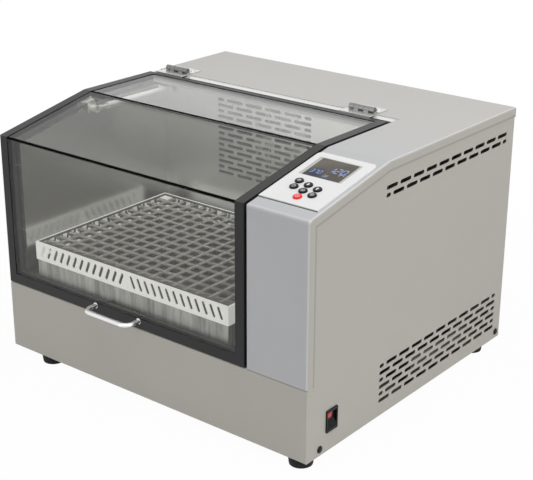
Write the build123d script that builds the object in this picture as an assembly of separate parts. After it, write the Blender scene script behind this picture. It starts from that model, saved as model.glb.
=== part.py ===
from build123d import *
import os
from math import atan2, cos, degrees, hypot, radians, sin, tan

# Incubated benchtop shaker: a sheet metal cabinet with a heated steel chamber under a clear hinged lid,
# and a spring tray that three eccentric cranks carry round a level circle.
# It is drawn with x = 0 at the lid's left edge, y = 0 at the front face and z = 0 under the bottom sheet.
# The export moves it so that the origin is the middle of its footprint, on the table. Millimetres.

# ---------------------------------------------------------------- overall sizes
width = 640.0
depth = 570.0
height = 420.0
foot_height = 14.0
housing_width = 114.0          # control housing at the right
deck_depth = 184.0             # fixed deck behind the lid
lid_flat = 167.0               # level part of the lid, front to back
slope_rise = 38.0              # what the sloping face climbs
seam_height = 122.0            # foot of the lid and of the housing front
seam_gap = 0.8
lid_side_gap = 4.0             # dark line between lid and housing
lid_rear_gap = 25.0            # lid's rear edge to the deck

# ---------------------------------------------------------------- sheet metal
sheet = 1.2
bend = 3.0                     # outside radius of the folds
cover_fold = 16.0              # how far the cover's edges fold down
cover_fold_chamber = 17.0      # the fold beside the lid, down to the chamber ledge
return_depth = 24.0            # top return of the base front
panel_tuck = 5.0               # side and rear sheets end this far under the cover
ledge_gap = 0.1

# ---------------------------------------------------------------- chamber
steel = 1.5
wall_left = 28.0               # outer face of the left chamber wall
wall_right_inset = 12.0        # outer face of the right wall, in from the lid's right edge
ledge_inset = 17.0             # steel ledge that carries the seal, below the outer surface
ledge_overlap = 7.0            # right ledge runs this far under the housing
chamber_setback = 7.0          # rear wall behind the lid's rear edge
floor_top = 125.0
threshold_top = 131.0
threshold_step = 1.0           # the seal ends this far below the threshold
strip_drop = 1.0               # bright rear strip below the cover's top
strip_gap = 0.3
rear_slot = (36.0, 5.6)        # length and width of a slot in the rear wall
rear_slot_period = 43.0
rear_slot_rows = 15
rear_slot_pitch = 10.36
rear_slot_columns = 5
rear_slot_top = 16.0           # first row below the cover's top
duct_offset = -8.0             # slots, duct and fan lie left of the tray's middle

# ---------------------------------------------------------------- side vents, switch, plugs and feet
vent_slot = (30.0, 6.6)
vent_pitch = 36.4
vent_row_pitch = 12.1
vent_front = 188.0
vent_rear_margin = 24.0
vent_low_rows = 6
vent_low_start = 26.4
vent_high_rows = 2
vent_high_drop = 40.4          # upper row below the cover's top
rear_vent_columns = 4
rear_vent_left = 60.0
plug_radius = 6.0
plug_head = 3.1
plug_shank = 2.5
plug_shank_length = 4.8
plug_front = (34.0, 11.0)      # y and z
plug_rear = (14.0, 12.0)       # in from the rear edge, and z
foot_top_radius = 20.0
foot_low_radius = 18.5
foot_left = 77.0
foot_right_inset = 25.0
foot_front = 20.5
foot_rear_inset = 55.0

# ---------------------------------------------------------------- lid
lid_depth = 14.0
lid_rail = 20.0
lid_rear_rail = 12.0
panel_thickness = 4.0
panel_inset = 1.0
panel_bearing = 3.0            # panel edge lies this far on the frame
panel_gap = 0.3
strip_half_low = 2.5           # half width of the strip over the front crease
strip_half_high = 1.5
strip_inset = 0.3
joint_gap = 0.1
seal_gap = 0.3
seal_width = 10.0
seal_width_right = 8.0
seal_edge = 6.0                # seal in from the lid's left edge
seal_edge_right = 3.0
seal_notch = (3.0, 2.5)        # room for the strut in the lip: past its eye, and deep

handle_pitch = 96.0
handle_offset = -3.0           # middle of the handle, left of the lid's middle
handle_height = 135.0
handle_reach = 27.5            # bar's centre line before the lid
handle_bar = (9.0, 7.0)        # flat oval bar, level and upright
handle_bend = 14.0
handle_boss = (4.8, 1.0)       # radius and thickness
handle_screw = 2.0
handle_screw_head = (3.6, 3.0)
handle_screw_sink = 1.0        # head below the frame's inner face

# ---------------------------------------------------------------- hinges
hinge_rise = 6.0               # axis above the cover's top
hinge_left = 45.0
hinge_right_inset = 66.0
hinge_barrel = 5.0
hinge_pin = 2.5
pin_clearance = 0.05
hinge_length = 50.0
hinge_knuckles = 5
knuckle_gap = 0.4
leaf_width = 60.0
leaf_thickness = 2.0
leaf_clear = 0.6               # leaves stay this far off the barrel between their own knuckles
base_leaf_depth = 30.0
lid_leaf_rise = 0.5
lid_leaf_drop = 12.5           # the lid leaf's leg reaches down to here, below the lid's top
leaf_screw_row = 19.0
leaf_screw_drop = 8.3
leaf_screw_spread = 20.0
screw_head = (4.0, 1.6)
screw_shank = 2.0
screw_depth = 8.0              # of the hinge screws in the cover
screw_end = 2.0                # lid leaf screws end this far from the rear rail's inner side

# ---------------------------------------------------------------- gas strut
lid_open = 75.0                # degrees
strut_x = 45.0
strut_foot = (-28.0, -30.0)    # cabinet pivot from the hinge axis, y and z
strut_head = (-210.0, -29.0)   # lid pivot from the hinge axis
strut_stud = 4.0
strut_eye = 6.5
strut_eye_width = 10.0
strut_clip = (1.0, 1.6)        # clip on the stud: past its radius, and width
tube_radius = 6.0
tube_neck = 4.5
tube_bore = 5.0
tube_start = 10.0              # from the cabinet pivot
tube_end = 155.0
tube_solid = 20.0
tube_cap = 4.0
rod_radius = 3.0
rod_sleeve = (4.2, 8.0)        # radius and length at the lid end
rod_clearance = 0.06
piston_start = 60.0
piston_length = 8.0
piston_clearance = 0.05
stud_gap = 0.4                 # open pivot at the lid
bracket = 2.0                  # thickness of both strut brackets
wall_bracket_margin = 4.0      # round the strut's eye
lid_bracket_flange = (18.0, 16.0)   # down and up the slope from the stud
lid_bracket_half = 9.0         # half length of its arm

# ---------------------------------------------------------------- control panel, on the slope
overlay_left = 2.0             # in from the housing's left face
overlay_width = 105.0
overlay_foot = 26.9            # up the slope from the front crease
overlay_head = 176.0
overlay_thickness = 2.0
overlay_corner = 8.0
window_margin = 11.0
display_size = (76.0, 57.0)
display_centre = (51.5, 134.0)  # from the housing's left face, and up the slope
display_recess = 0.4
display_depth = 8.0
board_thickness = 1.6
board_margin = 4.0
board_peg = (3.0, 2.5)         # in from the board's edges, and radius
key_radius = 6.75
key_hole_gap = 0.25
key_flange = 0.95              # flange behind the overlay, past the key's radius
key_proud = 4.4
key_foot = 6.0
key_edge = 0.8                 # rounding of the key's top
key_lattice = (31.0, 85.7)     # first key: from the housing's left face, and up the slope
key_step_across = (20.1, -5.25)
key_step_down = (3.2, -17.3)
switch_radius = 3.0
switch_gap = 0.8

# ---------------------------------------------------------------- rocker switch in the right side
rocker_y = (48.0, 76.0)
rocker_z = (32.0, 69.0)
rocker_flange = 2.0            # bezel round the cut-out
rocker_proud = 2.2
rocker_body_depth = 22.0
rocker_swing = 16.0            # degrees
rocker_width = 22.0
rocker_length = 29.6
rocker_middle = 3.0            # height of the rocker's valley over its pivot
rocker_end = 6.0
rocker_pivot_depth = 4.8       # pivot inside the cabinet's outer side
rocker_pin = 1.5
rocker_corner = 1.5
rocker_side_gap = 0.4
rocker_end_gap = 0.5

# ---------------------------------------------------------------- tray and spring net
orbit_radius = 13.0
tray_side_gap = 14.5           # at the end of the orbit
tray_front_gap = 8.0
tray_rear_gap = 11.0
tray_bottom = 173.0
tray_height = 31.5
tray_lip = 8.0
tray_slot = (6.0, 21.0)        # width and upright height
tray_slot_lean = 23.0          # degrees
tray_slot_pitch = 15.2
tray_slot_margin = 15.7
tray_slot_middle = 12.5        # plain triangle in the middle of each flange
tray_slot_foot = 6.0
net_strand = 8.0
net_pitch = 24.6
net_border = 6.0
net_thickness = 9.0
net_foot = 20.5                # net above the tray's bottom
carrier_inset = 2.0
carrier_plate = 4.0
carrier_skirt = 2.0
carrier_skirt_foot = 134.0

# ---------------------------------------------------------------- triple eccentric drive
main_crank = (0.0, 70.0)       # from the orbit's centre
idler_crank = (110.0, -55.0)
motor_spacing = 161.0
plate_margin = (159.0, 211.0, 105.0, 135.0)   # left, right, front and rear of the orbit's centre
plate_level = 30.0
plate_thickness = 6.0
plate_corner = 15.0
plate_leg = 8.0
pulley_level = 10.0
pulley_width = 14.0
crank_pulley_radius = 72.0
drive_ratio = 3.0
pulley_flange = (3.0, 0.8)
pulley_hole = (6, 14.0)        # lightening holes: count and radius
shaft_end = 2.0                # main shaft below its pulley
belt_thickness = 4.0
belt_gap = 0.3
belt_side_gap = 0.2
fit = 0.05                     # radial clearance of shafts, bearings and seals
shaft_hole_gap = 3.0           # clear holes for the shafts in the plate
bearing_recess = 2.0           # upper bearings below the housings' tops
housing_top = 92.0
main_housing = (55.0, 8.0, 32.0)      # flange radius, flange thickness, body radius
idler_housing = (38.0, 7.0, 24.0)
main_bearing = (23.5, 14.0)           # outer radius and width
idler_bearing = (17.5, 11.0)
main_shaft = 10.0
idler_shaft = 7.5
shaft_shoulder = 4.0
idler_shoulder = 3.5
idler_end_gap = 0.5
web_margin = 4.0               # the webs reach this far past their pins
pin_collar = 2.5
web_top = 134.0
main_pin = 7.0
idler_pin = 5.0
pin_top = 160.0
pin_head_gap = 1.0             # the bosses' bores end this far above the pins
carrier_boss_foot = 141.0
main_boss = 22.0
idler_boss = 18.0
main_pin_bearing = 16.0
idler_pin_bearing = 13.0
pin_bearing_foot = 143.0
pin_bearing_width = 16.0
idler_pin_gap = 0.3            # open pivots
floor_hole_gap = 1.5
seal_ring = (8.0, 3.0)         # width and thickness of the shaft seals
weight_radius = 78.0
weight_level = 98.0
weight_thickness = 18.0
weight_ring = 10.0
web_step = 2.0                 # webs start this far below or above the counterweight's foot
motor_radius = 48.0
motor_height = 76.0
motor_shaft = 5.0
motor_shaft_length = 28.0      # above the plate
motor_shaft_spare = 2.0        # its bore runs on this far
motor_chamfer = 3.0

# ---------------------------------------------------------------- air, heat and power
duct_width = 242.0
duct_depth = 60.5
duct_foot = 150.0
duct_head_drop = 8.0
fan_drop = 88.5                # fan axis below the cover's top
fan_radius = 60.0
fan_front = 15.5               # behind the rear wall
fan_width = 30.0
fan_hub = 14.0
fan_blades = 8
fan_blade = 2.0                # thickness, and how far it is rooted in the hub
fan_shaft = 4.0
fan_motor_radius = 42.0
fan_motor_length = 62.0
heater_radius = 4.0
heater_runs = 4
heater_pitch = 22.0
heater_bend = 10.0
heater_span = 190.0
heater_foot = 168.0
probe_radius = 2.5
probe_gland = (7.5, 6.0)       # radius and length
slab_floor = 5.5
slab_rear = 20.0
slab_gap = 0.2
slab_hole_gap = 12.0           # floor slab clear of the cranks' webs
supply_size = (85.0, 160.0, 50.0)
supply_place = (14.0, 300.0)   # from the housing's left face, and y
inlet_place = (34.0, 60.0)     # from the housing's left face, and z
inlet_cut = (27.5, 20.0)
inlet_flange = (50.0, 24.0, 3.0)
inlet_depth = 25.0
inlet_wall = 2.0
inlet_gap = 0.2
inlet_corner = 4.0
inlet_blade = (2.0, 4.0)       # width and height of a contact blade
inlet_blades = ((-7.0, -2.0), (0.0, 2.0), (7.0, -2.0))   # from the inlet's middle, x and z
inlet_blade_sink = 4.0         # behind the cabinet's rear side

# ---------------------------------------------------------------- places worked out from the sizes
front_top = height - slope_rise
deck_front = depth - deck_depth
lid_rear = deck_front - lid_rear_gap
slope_run = lid_rear - lid_flat
slope_angle = atan2(slope_rise, slope_run)
slope_sin, slope_cos = sin(slope_angle), cos(slope_angle)
housing_left = width - housing_width
lid_width = housing_left - lid_side_gap
apron_top = seam_height - seam_gap
inner_sheet = 2 * sheet
chamber_rear = lid_rear + chamber_setback
wall_right = lid_width - wall_right_inset
chamber_left = wall_left + steel
chamber_right = wall_right - steel
floor_foot = floor_top - steel
hinge_y = deck_front
hinge_z = height + hinge_rise
hinge_centres = (hinge_left, lid_width - hinge_right_inset)
orbit_x = (chamber_left + chamber_right) / 2
tray_x0 = chamber_left + tray_side_gap + orbit_radius
tray_x1 = chamber_right - tray_side_gap - orbit_radius
tray_y0 = panel_inset + panel_thickness + tray_front_gap
tray_y1 = chamber_rear - tray_rear_gap - 2 * orbit_radius
orbit_y = (tray_y0 + tray_y1) / 2 + orbit_radius
main_axis = (orbit_x + main_crank[0], orbit_y + main_crank[1])
idler_axes = [(orbit_x + side * idler_crank[0], orbit_y + idler_crank[1]) for side in (-1, 1)]
main_web = orbit_radius + main_pin + web_margin
idler_web = orbit_radius + idler_pin + web_margin
motor_axis = (main_axis[0] + motor_spacing, main_axis[1])
motor_pulley_radius = crank_pulley_radius / drive_ratio
plate_top = plate_level + plate_thickness
duct_x = orbit_x + duct_offset
fan_z = height - fan_drop
fan_y0 = chamber_rear + steel + fan_front
duct_back = chamber_rear + steel + duct_depth
leaf_reach = hinge_barrel + leaf_clear
rebate = panel_inset + panel_thickness + joint_gap
cut = 1.0                      # cutting solids reach this far past what they cut

UP = (0, 0, 1)
SLOPE = Plane(origin=(0, 0, front_top), x_dir=(1, 0, 0), z_dir=(0, -slope_sin, slope_cos))


# ---------------------------------------------------------------- helpers
def block(x0, x1, y0, y1, z0, z1):
    """Box between two corners."""
    return Pos((x0 + x1) / 2, (y0 + y1) / 2, (z0 + z1) / 2) * Box(x1 - x0, y1 - y0, z1 - z0)


def disc(centre, radius, z0, z1):
    """Upright cylinder about an (x, y) point."""
    return Pos(centre[0], centre[1], (z0 + z1) / 2) * Cylinder(radius, z1 - z0)


def ring(centre, outer, inner, z0, z1):
    return disc(centre, outer, z0, z1) - disc(centre, inner, z0, z1)


def bar(start, end, radius):
    """Round bar from point to point."""
    run = Vector(*end) - Vector(*start)
    return extrude(Plane(origin=start, z_dir=run) * Circle(radius), amount=run.length)


def bar_x(y, z, radius, x0, x1):
    return bar((x0, y, z), (x1, y, z), radius)


def bar_y(x, z, radius, y0, y1):
    return bar((x, y0, z), (x, y1, z), radius)


def across(x):
    """Plane at x that holds (y, z) outlines."""
    return Plane(origin=(x, 0, 0), x_dir=(0, 1, 0), z_dir=(1, 0, 0))


def prism(outline, x0, x1):
    """(y, z) outline run from x0 to x1."""
    face = Polygon(*outline, align=None).face().moved(across(x0).location)
    return extrude(face, amount=x1 - x0, dir=(1, 0, 0))


def plate(plane, outline, holes, thickness, direction):
    """Flat plate on a plane, from an outline sketch and hole sketches drawn in that plane."""
    face = Face(outline.face().outer_wire(), [hole.face().outer_wire() for hole in holes])
    return extrude(face.moved(plane.location), amount=thickness, dir=direction)


def upright(y):
    """Plane at y that holds (x, z) outlines."""
    return Plane(origin=(0, y, 0), x_dir=(1, 0, 0), z_dir=(0, -1, 0))


def rectangle(a0, a1, b0, b1):
    return Pos((a0 + a1) / 2, (b0 + b1) / 2) * Rectangle(a1 - a0, b1 - b0)


def nearest(items, *points):
    """The vertices or edges that lie nearest to some points."""
    return [min(items, key=lambda item: (item.center() - Vector(*point)).length) for point in points]


def profile(inset, low, rear):
    """Side outline of lid and housing, an even depth under the outer surface, front foot to rear end."""
    crease_front = front_top - inset * (1 - slope_sin) / slope_cos
    crease_top = (height - inset - front_top + inset / slope_cos) / tan(slope_angle)
    return [(inset, low), (inset, crease_front), (crease_top, height - inset), (rear, height - inset)]


def band(outer, inner, low, rear):
    return profile(outer, low, rear) + profile(inner, low, rear)[::-1]


def on_slope(sketch, out, thickness):
    """Sketch in (x, up the slope), run outwards from a height over the slope."""
    faces = [face.moved((SLOPE.location * Pos(0, 0, out))) for face in sketch.faces()]
    return extrude(faces, amount=thickness, dir=(0, -slope_sin, slope_cos))


def staggered(start, low, slot, pitch, row_pitch, rows, columns, first_full=True):
    """Rows of slots like brickwork: full rows, and rows that start and end with a short slot."""
    length, slot_width = slot
    short = length - pitch / 2
    slots = []
    for row in range(rows):
        level = low + row * row_pitch
        if (row % 2 == 0) == first_full:
            spans = [(start + pitch * n, length) for n in range(columns)]
        else:
            spans = [(start, short)]
            spans += [(start + short + (pitch - length) + pitch * n, length) for n in range(columns - 1)]
            spans += [(start + pitch * columns - (pitch - length) - short, short)]
        slots += [Pos(first + span / 2, level) * SlotOverall(span, slot_width) for first, span in spans]
    return slots


def dome(centre, radius, rise, direction):
    """Low domed head on a plane, from a point outwards."""
    ball = (radius ** 2 + rise ** 2) / (2 * rise)
    middle = Vector(*centre) - Vector(*direction) * (ball - rise)
    keep = extrude(Plane(origin=centre, z_dir=direction) * Circle(radius), amount=rise)
    return keep & (Pos(middle.X, middle.Y, middle.Z) * Sphere(ball))


# ---------------------------------------------------------------- cabinet sheets
def base_shell():
    """Bottom sheet, folded up into the front apron and back at its top."""
    rear = depth - inner_sheet
    outline = [(rear, 0), (0, 0), (0, apron_top), (return_depth, apron_top)]
    outline += [(return_depth, apron_top - sheet), (sheet, apron_top - sheet), (sheet, sheet), (rear, sheet)]
    x0, x1 = inner_sheet, width - inner_sheet
    shell = prism(outline, x0, x1)
    middle = (x0 + x1) / 2
    shell = fillet(nearest(shell.edges(), (middle, 0, 0), (middle, 0, apron_top)), bend)
    inner = [(middle, sheet, sheet), (middle, sheet, apron_top - sheet)]
    return fillet(nearest(shell.edges(), *inner), bend - sheet)


def vent_columns():
    gap = vent_pitch - vent_slot[0]
    return int((depth - vent_rear_margin - vent_front + gap) / vent_pitch)


def low_vents():
    return staggered(vent_front, vent_low_start, vent_slot, vent_pitch, vent_row_pitch, vent_low_rows,
                     vent_columns())


def high_vents():
    return staggered(vent_front, height - vent_high_drop - vent_row_pitch, vent_slot, vent_pitch,
                     vent_row_pitch, vent_high_rows, vent_columns(), first_full=False)


def plug_points():
    return [plug_front, (depth - plug_rear[0], plug_rear[1])]


def plug_holes():
    return [Pos(*point) * Circle(plug_shank + fit) for point in plug_points()]


def side_outline(corners):
    outline = Polygon(*corners, align=None)
    return fillet(nearest(outline.vertices(), (0, 0, 0), (0, apron_top, 0)), bend)


def side_panel_right():
    upper = profile(panel_tuck, apron_top, depth - inner_sheet)
    corners = [(0, 0), (0, apron_top)] + upper + [(depth - inner_sheet, 0)]
    switch = rectangle(rocker_y[0] + rocker_flange, rocker_y[1] - rocker_flange,
                       rocker_z[0] + rocker_flange, rocker_z[1] - rocker_flange)
    holes = low_vents() + high_vents() + plug_holes() + [switch]
    return plate(across(width - sheet), side_outline(corners), holes, sheet, (-1, 0, 0))


def side_panel_left():
    inset = ledge_inset + steel
    strip_foot = height - strip_drop - steel - ledge_gap
    upper = profile(inset, apron_top, chamber_rear)
    corners = [(0, 0), (0, apron_top)] + upper
    corners += [(chamber_rear, strip_foot), (deck_front, strip_foot), (deck_front, height - panel_tuck)]
    corners += [(depth - inner_sheet, height - panel_tuck), (depth - inner_sheet, 0)]
    panel = plate(across(sheet), side_outline(corners), low_vents() + plug_holes(), sheet, (1, 0, 0))
    fold = prism(band(inset, inset + sheet, apron_top, chamber_rear), inner_sheet, wall_left - steel)
    return panel + fold


def rear_panel():
    left = rear_vent_left
    vents = staggered(left, vent_low_start, vent_slot, vent_pitch, vent_row_pitch, vent_low_rows,
                      rear_vent_columns)
    rows = 2 * vent_high_rows
    vents += staggered(left, height - vent_high_drop - (rows - 1) * vent_row_pitch, vent_slot, vent_pitch,
                       vent_row_pitch, rows, 2 * rear_vent_columns)
    x, z = housing_left + inlet_place[0], inlet_place[1]
    socket = Pos(x, z) * Rectangle(*inlet_cut)
    outline = rectangle(sheet, width - sheet, 0, height - panel_tuck)
    return plate(upright(depth - sheet), outline, vents + [socket], sheet, (0, -1, 0))


def cover_form(inset, low):
    """Outer or inner form of the cover: housing at the right, level deck behind the lid."""
    rear = depth - inset
    top = height - inset
    left, right = housing_left + inset, width - inset
    outline = profile(inset, low, rear)
    housing = prism(outline + [(rear, low)], left, right)
    (low_y, low_z), (front_y, front_z), (crest_y, crest_z), _ = outline
    rounded = [((left + right) / 2, front_y, front_z), ((left + right) / 2, crest_y, crest_z)]
    for x in (left, right):
        rounded += [(x, low_y, (low_z + front_z) / 2)]
        rounded += [(x, (front_y + crest_y) / 2, (front_z + crest_z) / 2)]
        rounded += [(x, (crest_y + rear) / 2, top)]
    housing = fillet(nearest(housing.edges(), *rounded), bend - inset)
    deck = block(inset, (left + right) / 2, deck_front, rear, low, top)
    deck = fillet(nearest(deck.edges(), (inset, (deck_front + rear) / 2, top)), bend - inset)
    return housing + deck


def control_window():
    """Opening in the cover's slope, under the overlay."""
    left = housing_left + overlay_left + window_margin
    right = left + overlay_width - 2 * window_margin
    return on_slope(rectangle(left, right, overlay_foot + window_margin / 2,
                              overlay_head - window_margin / 2), -2 * sheet, 3 * sheet)


def hinge_screw_points():
    row = hinge_y + leaf_screw_row
    return [(x + side * leaf_screw_spread, row) for x in hinge_centres for side in (-1, 1)]


def top_cover():
    """Grey cover: housing front, slope, top and rear deck, with folded edges."""
    far = depth + bend
    shell = cover_form(0, seam_height) - cover_form(sheet, seam_height - bend)
    shell -= block(-cut, housing_left, deck_front - cut, deck_front + sheet, 0, height - sheet)
    edges = prism(band(-cut, cover_fold, 0, far), -cut, width + cut)
    edges += prism(band(-cut, cover_fold_chamber, 0, far), housing_left - cut, housing_left + 2 * bend)
    shell = shell & edges
    shell -= control_window()
    for point in hinge_screw_points():
        shell -= disc(point, screw_shank + fit, height - 2 * bend, height + cut)
    return shell


# ---------------------------------------------------------------- chamber
def floor_holes():
    holes = [Pos(*main_axis) * Circle(main_web + floor_hole_gap)]
    return holes + [Pos(*axis) * Circle(idler_web + floor_hole_gap) for axis in idler_axes]


def chamber_liner():
    """Steel side walls, floor, front threshold and the ledges under the lid's edges."""
    wall = profile(ledge_inset, floor_foot, chamber_rear) + [(chamber_rear, floor_foot)]
    floor = plate(Plane(origin=(0, 0, floor_foot)),
                  rectangle(wall_left, wall_right, ledge_inset, chamber_rear), floor_holes(), steel, UP)
    ledge = band(ledge_inset, ledge_inset + steel, apron_top, chamber_rear)
    liner = floor + prism(wall, wall_left, chamber_left) + prism(wall, chamber_right, wall_right)
    liner += prism(ledge, sheet, chamber_left)
    liner += prism(ledge, chamber_right, housing_left + ledge_overlap)
    liner += block(sheet, housing_left + ledge_overlap, ledge_inset, ledge_inset + steel,
                   apron_top, threshold_top)
    return liner


def rear_slots():
    """Slots of the rear wall as (x, z) sketches; the top row is a full one."""
    span = rear_slot_columns * rear_slot_period - (rear_slot_period - rear_slot[0])
    low = height - rear_slot_top - (rear_slot_rows - 1) * rear_slot_pitch
    return staggered(duct_x - span / 2, low, rear_slot, rear_slot_period, rear_slot_pitch,
                     rear_slot_rows, rear_slot_columns)


def chamber_rear_wall():
    """Rear wall with its slots, folded back at the top into the bright strip before the deck."""
    shoulder = height - ledge_inset - steel
    strip_top = height - strip_drop
    left, right = inner_sheet, housing_left - panel_gap
    corners = [(wall_left, floor_foot), (wall_left, shoulder), (left, shoulder), (left, strip_top)]
    corners += [(right, strip_top), (right, shoulder), (wall_right, shoulder), (wall_right, floor_foot)]
    wall = plate(upright(chamber_rear), Polygon(*corners, align=None), rear_slots(), steel, (0, 1, 0))
    strip = block(left - steel / 2, right, chamber_rear, deck_front - strip_gap, strip_top - steel, strip_top)
    return wall + strip


def lid_seal():
    """Rubber round the chamber's mouth, with a lip behind the lid's rear edge."""
    outer, inner = lid_depth + seal_gap, ledge_inset
    right = lid_width - seal_edge_right
    seal = prism(band(outer, inner, floor_foot, chamber_rear), seal_edge, seal_edge + seal_width)
    seal += prism(band(outer, inner, floor_foot, chamber_rear), right - seal_width_right, right)
    seal += block(seal_edge, right, outer, inner, floor_foot, threshold_top - threshold_step)
    lip_top = height - lid_leaf_drop - seal_gap
    lip = block(seal_edge, right, lid_rear + seal_gap, chamber_rear, height - inner, lip_top)
    half = strut_eye + seal_notch[0]
    lip -= block(strut_x - half, strut_x + half, lid_rear, lid_rear + seal_notch[1], height - inner, lip_top)
    return seal + lip


def insulation_slabs():
    """Foam beside and under the chamber, and behind it on both sides of the air duct."""
    inset = ledge_inset + steel + sheet + slab_gap
    side = profile(inset, floor_foot, chamber_rear) + [(chamber_rear, floor_foot)]
    left = prism(side, inner_sheet, wall_left)
    right = prism(side, wall_right, housing_left - slab_gap)
    holes = [Pos(*main_axis) * Circle(main_web + slab_hole_gap)]
    holes += [Pos(*axis) * Circle(idler_web + slab_hole_gap) for axis in idler_axes]
    under = plate(Plane(origin=(0, 0, floor_foot - slab_floor)),
                  rectangle(wall_left, wall_right, return_depth + slab_gap, chamber_rear),
                  holes, slab_floor, UP)
    y0 = chamber_rear + steel
    top = height - ledge_inset - steel - slab_gap
    ends = [(wall_left, duct_x - duct_width / 2 - slab_gap), (duct_x + duct_width / 2 + slab_gap, wall_right)]
    rear = [block(x0, x1, y0, y0 + slab_rear, floor_top, top) for x0, x1 in ends]
    return [left, right, under] + rear


# ---------------------------------------------------------------- air and heat
def air_duct():
    """Open box behind the slots, with a hole for the fan shaft."""
    x0, x1 = duct_x - duct_width / 2, duct_x + duct_width / 2
    y0, y1 = chamber_rear + steel, duct_back
    z0, z1 = duct_foot, height - duct_head_drop
    duct = block(x0, x1, y0, y1, z0, z1)
    duct -= block(x0 + steel, x1 - steel, y0, y1 - steel, z0 + steel, z1 - steel)
    return duct - bar_y(duct_x, fan_z, 2 * fan_shaft, y1 - 2 * steel, y1 + steel)


def fan_impeller():
    """Radial blades on a hub and back disc, with the shaft into the motor."""
    y1 = fan_y0 + fan_width
    wheel = bar_y(duct_x, fan_z, fan_hub, fan_y0, y1)
    wheel += bar_y(duct_x, fan_z, fan_radius, y1 - steel, y1)
    blade = block(duct_x + fan_hub - fan_blade, duct_x + fan_radius, fan_y0, y1,
                  fan_z - fan_blade / 2, fan_z + fan_blade / 2)
    spindle = Axis((duct_x, 0, fan_z), (0, 1, 0))
    for n in range(fan_blades):
        wheel += blade.rotate(spindle, n * 360 / fan_blades)
    return wheel + bar_y(duct_x, fan_z, fan_shaft, y1, duct_back + fan_motor_length / 4)


def fan_motor():
    motor = bar_y(duct_x, fan_z, fan_motor_radius, duct_back, duct_back + fan_motor_length)
    return motor - bar_y(duct_x, fan_z, fan_shaft + fit, duct_back, duct_back + fan_motor_length / 3)


def heater_element():
    """Tube heater in level runs across the foot of the duct, its ends through the duct's back."""
    y = chamber_rear + steel + duct_depth / 2
    half = heater_span / 2
    corners = []
    for n in range(heater_runs):
        level = heater_foot + n * heater_pitch
        ends = [(duct_x - half, y, level), (duct_x + half, y, level)]
        corners += ends if n % 2 == 0 else ends[::-1]
    tail = duct_back - steel
    corners = [(corners[0][0], tail, corners[0][2])] + corners + [(corners[-1][0], tail, corners[-1][2])]
    path = FilletPolyline(*corners, radius=heater_bend)
    section = Plane(origin=corners[0], z_dir=(0, -1, 0)) * Circle(heater_radius)
    return sweep(section, path=path)


def temperature_probe():
    """Sheathed sensor from the duct's back towards the slots, in its gland."""
    x = duct_x - duct_width / 4 - fan_radius / 2
    z = fan_z + fan_radius
    y1 = duct_back - steel
    gland_radius, gland_length = probe_gland
    probe = bar_y(x, z, probe_radius, y1 - duct_depth / 2, y1)
    return probe + bar_y(x, z, gland_radius, y1 - gland_length, y1)


# ---------------------------------------------------------------- lid
def lid_frame():
    """Dark frame along the lid's edges, rebated for the clear panels."""
    rear = lid_rear
    frame = prism(band(0, lid_depth, seam_height, rear), 0, lid_width)
    frame = fillet(nearest(frame.edges(), (0, 0, (seam_height + front_top) / 2),
                           (lid_width, 0, (seam_height + front_top) / 2)), bend / 2)
    low, back = seam_height + lid_rail, rear - lid_rear_rail
    frame -= prism(band(-cut, lid_depth + cut, low, back), lid_rail, lid_width - lid_rail)
    edge = lid_rail - panel_bearing
    frame -= prism(band(-cut, rebate, low - panel_bearing, back + panel_bearing), edge, lid_width - edge)
    head_radius = handle_screw_head[0] + fit
    for x in handle_roots():
        frame -= bar_y(x, handle_height, handle_screw + fit, -cut, lid_depth + cut)
        frame -= bar_y(x, handle_height, head_radius, handle_head_level(), lid_depth + cut)
    for x, z in leaf_screw_points():
        frame -= bar_y(x, z, screw_shank + fit, back + screw_end / 2, rear + cut)
    return frame


def panel_span():
    edge = lid_rail - panel_bearing + panel_gap
    return edge, lid_width - edge


def crease_edges(inset, back_off_low, back_off_high):
    """(y, z) at one depth: front face and slope by the front crease, slope and top by the top crease."""
    _, (front_y, front_z), (crest_y, crest_z), _ = profile(inset, 0, lid_rear)
    along_y, along_z = slope_cos, slope_sin
    return [(front_y, front_z - back_off_low),
            (front_y + back_off_low * along_y, front_z + back_off_low * along_z),
            (crest_y - back_off_high * along_y, crest_z - back_off_high * along_z),
            (crest_y + back_off_high, crest_z)]


def panel_edges():
    """Edges of the clear panels on their outer and inner sides, mitred at the creases."""
    low, high = strip_half_low + joint_gap, strip_half_high + joint_gap
    return [crease_edges(inset, low, high) for inset in (panel_inset, panel_inset + panel_thickness)]


def lid_panel_front():
    outer, inner = panel_edges()
    low = seam_height + lid_rail - panel_bearing + panel_gap
    return prism([(outer[0][0], low), outer[0], inner[0], (inner[0][0], low)], *panel_span())


def lid_panel_slope():
    outer, inner = panel_edges()
    return prism([outer[1], outer[2], inner[2], inner[1]], *panel_span())


def lid_panel_top():
    outer, inner = panel_edges()
    back = lid_rear - lid_rear_rail + panel_bearing - panel_gap
    return prism([outer[3], (back, outer[3][1]), (back, inner[3][1]), inner[3]], *panel_span())


def lid_strips():
    """Dark joint strips over the two creases."""
    outer_inset, inner_inset = strip_inset, panel_inset + panel_thickness
    outer = crease_edges(outer_inset, strip_half_low, strip_half_high)
    inner = crease_edges(inner_inset, strip_half_low, strip_half_high)
    creases_out = profile(outer_inset, 0, lid_rear)
    creases_in = profile(inner_inset, 0, lid_rear)
    front = [outer[0], creases_out[1], outer[1], inner[1], creases_in[1], inner[0]]
    top = [outer[2], creases_out[2], outer[3], inner[3], creases_in[2], inner[2]]
    return [prism(front, *panel_span()), prism(top, *panel_span())]


def handle_roots():
    middle = lid_width / 2 + handle_offset
    return middle - handle_pitch / 2, middle + handle_pitch / 2


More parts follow.
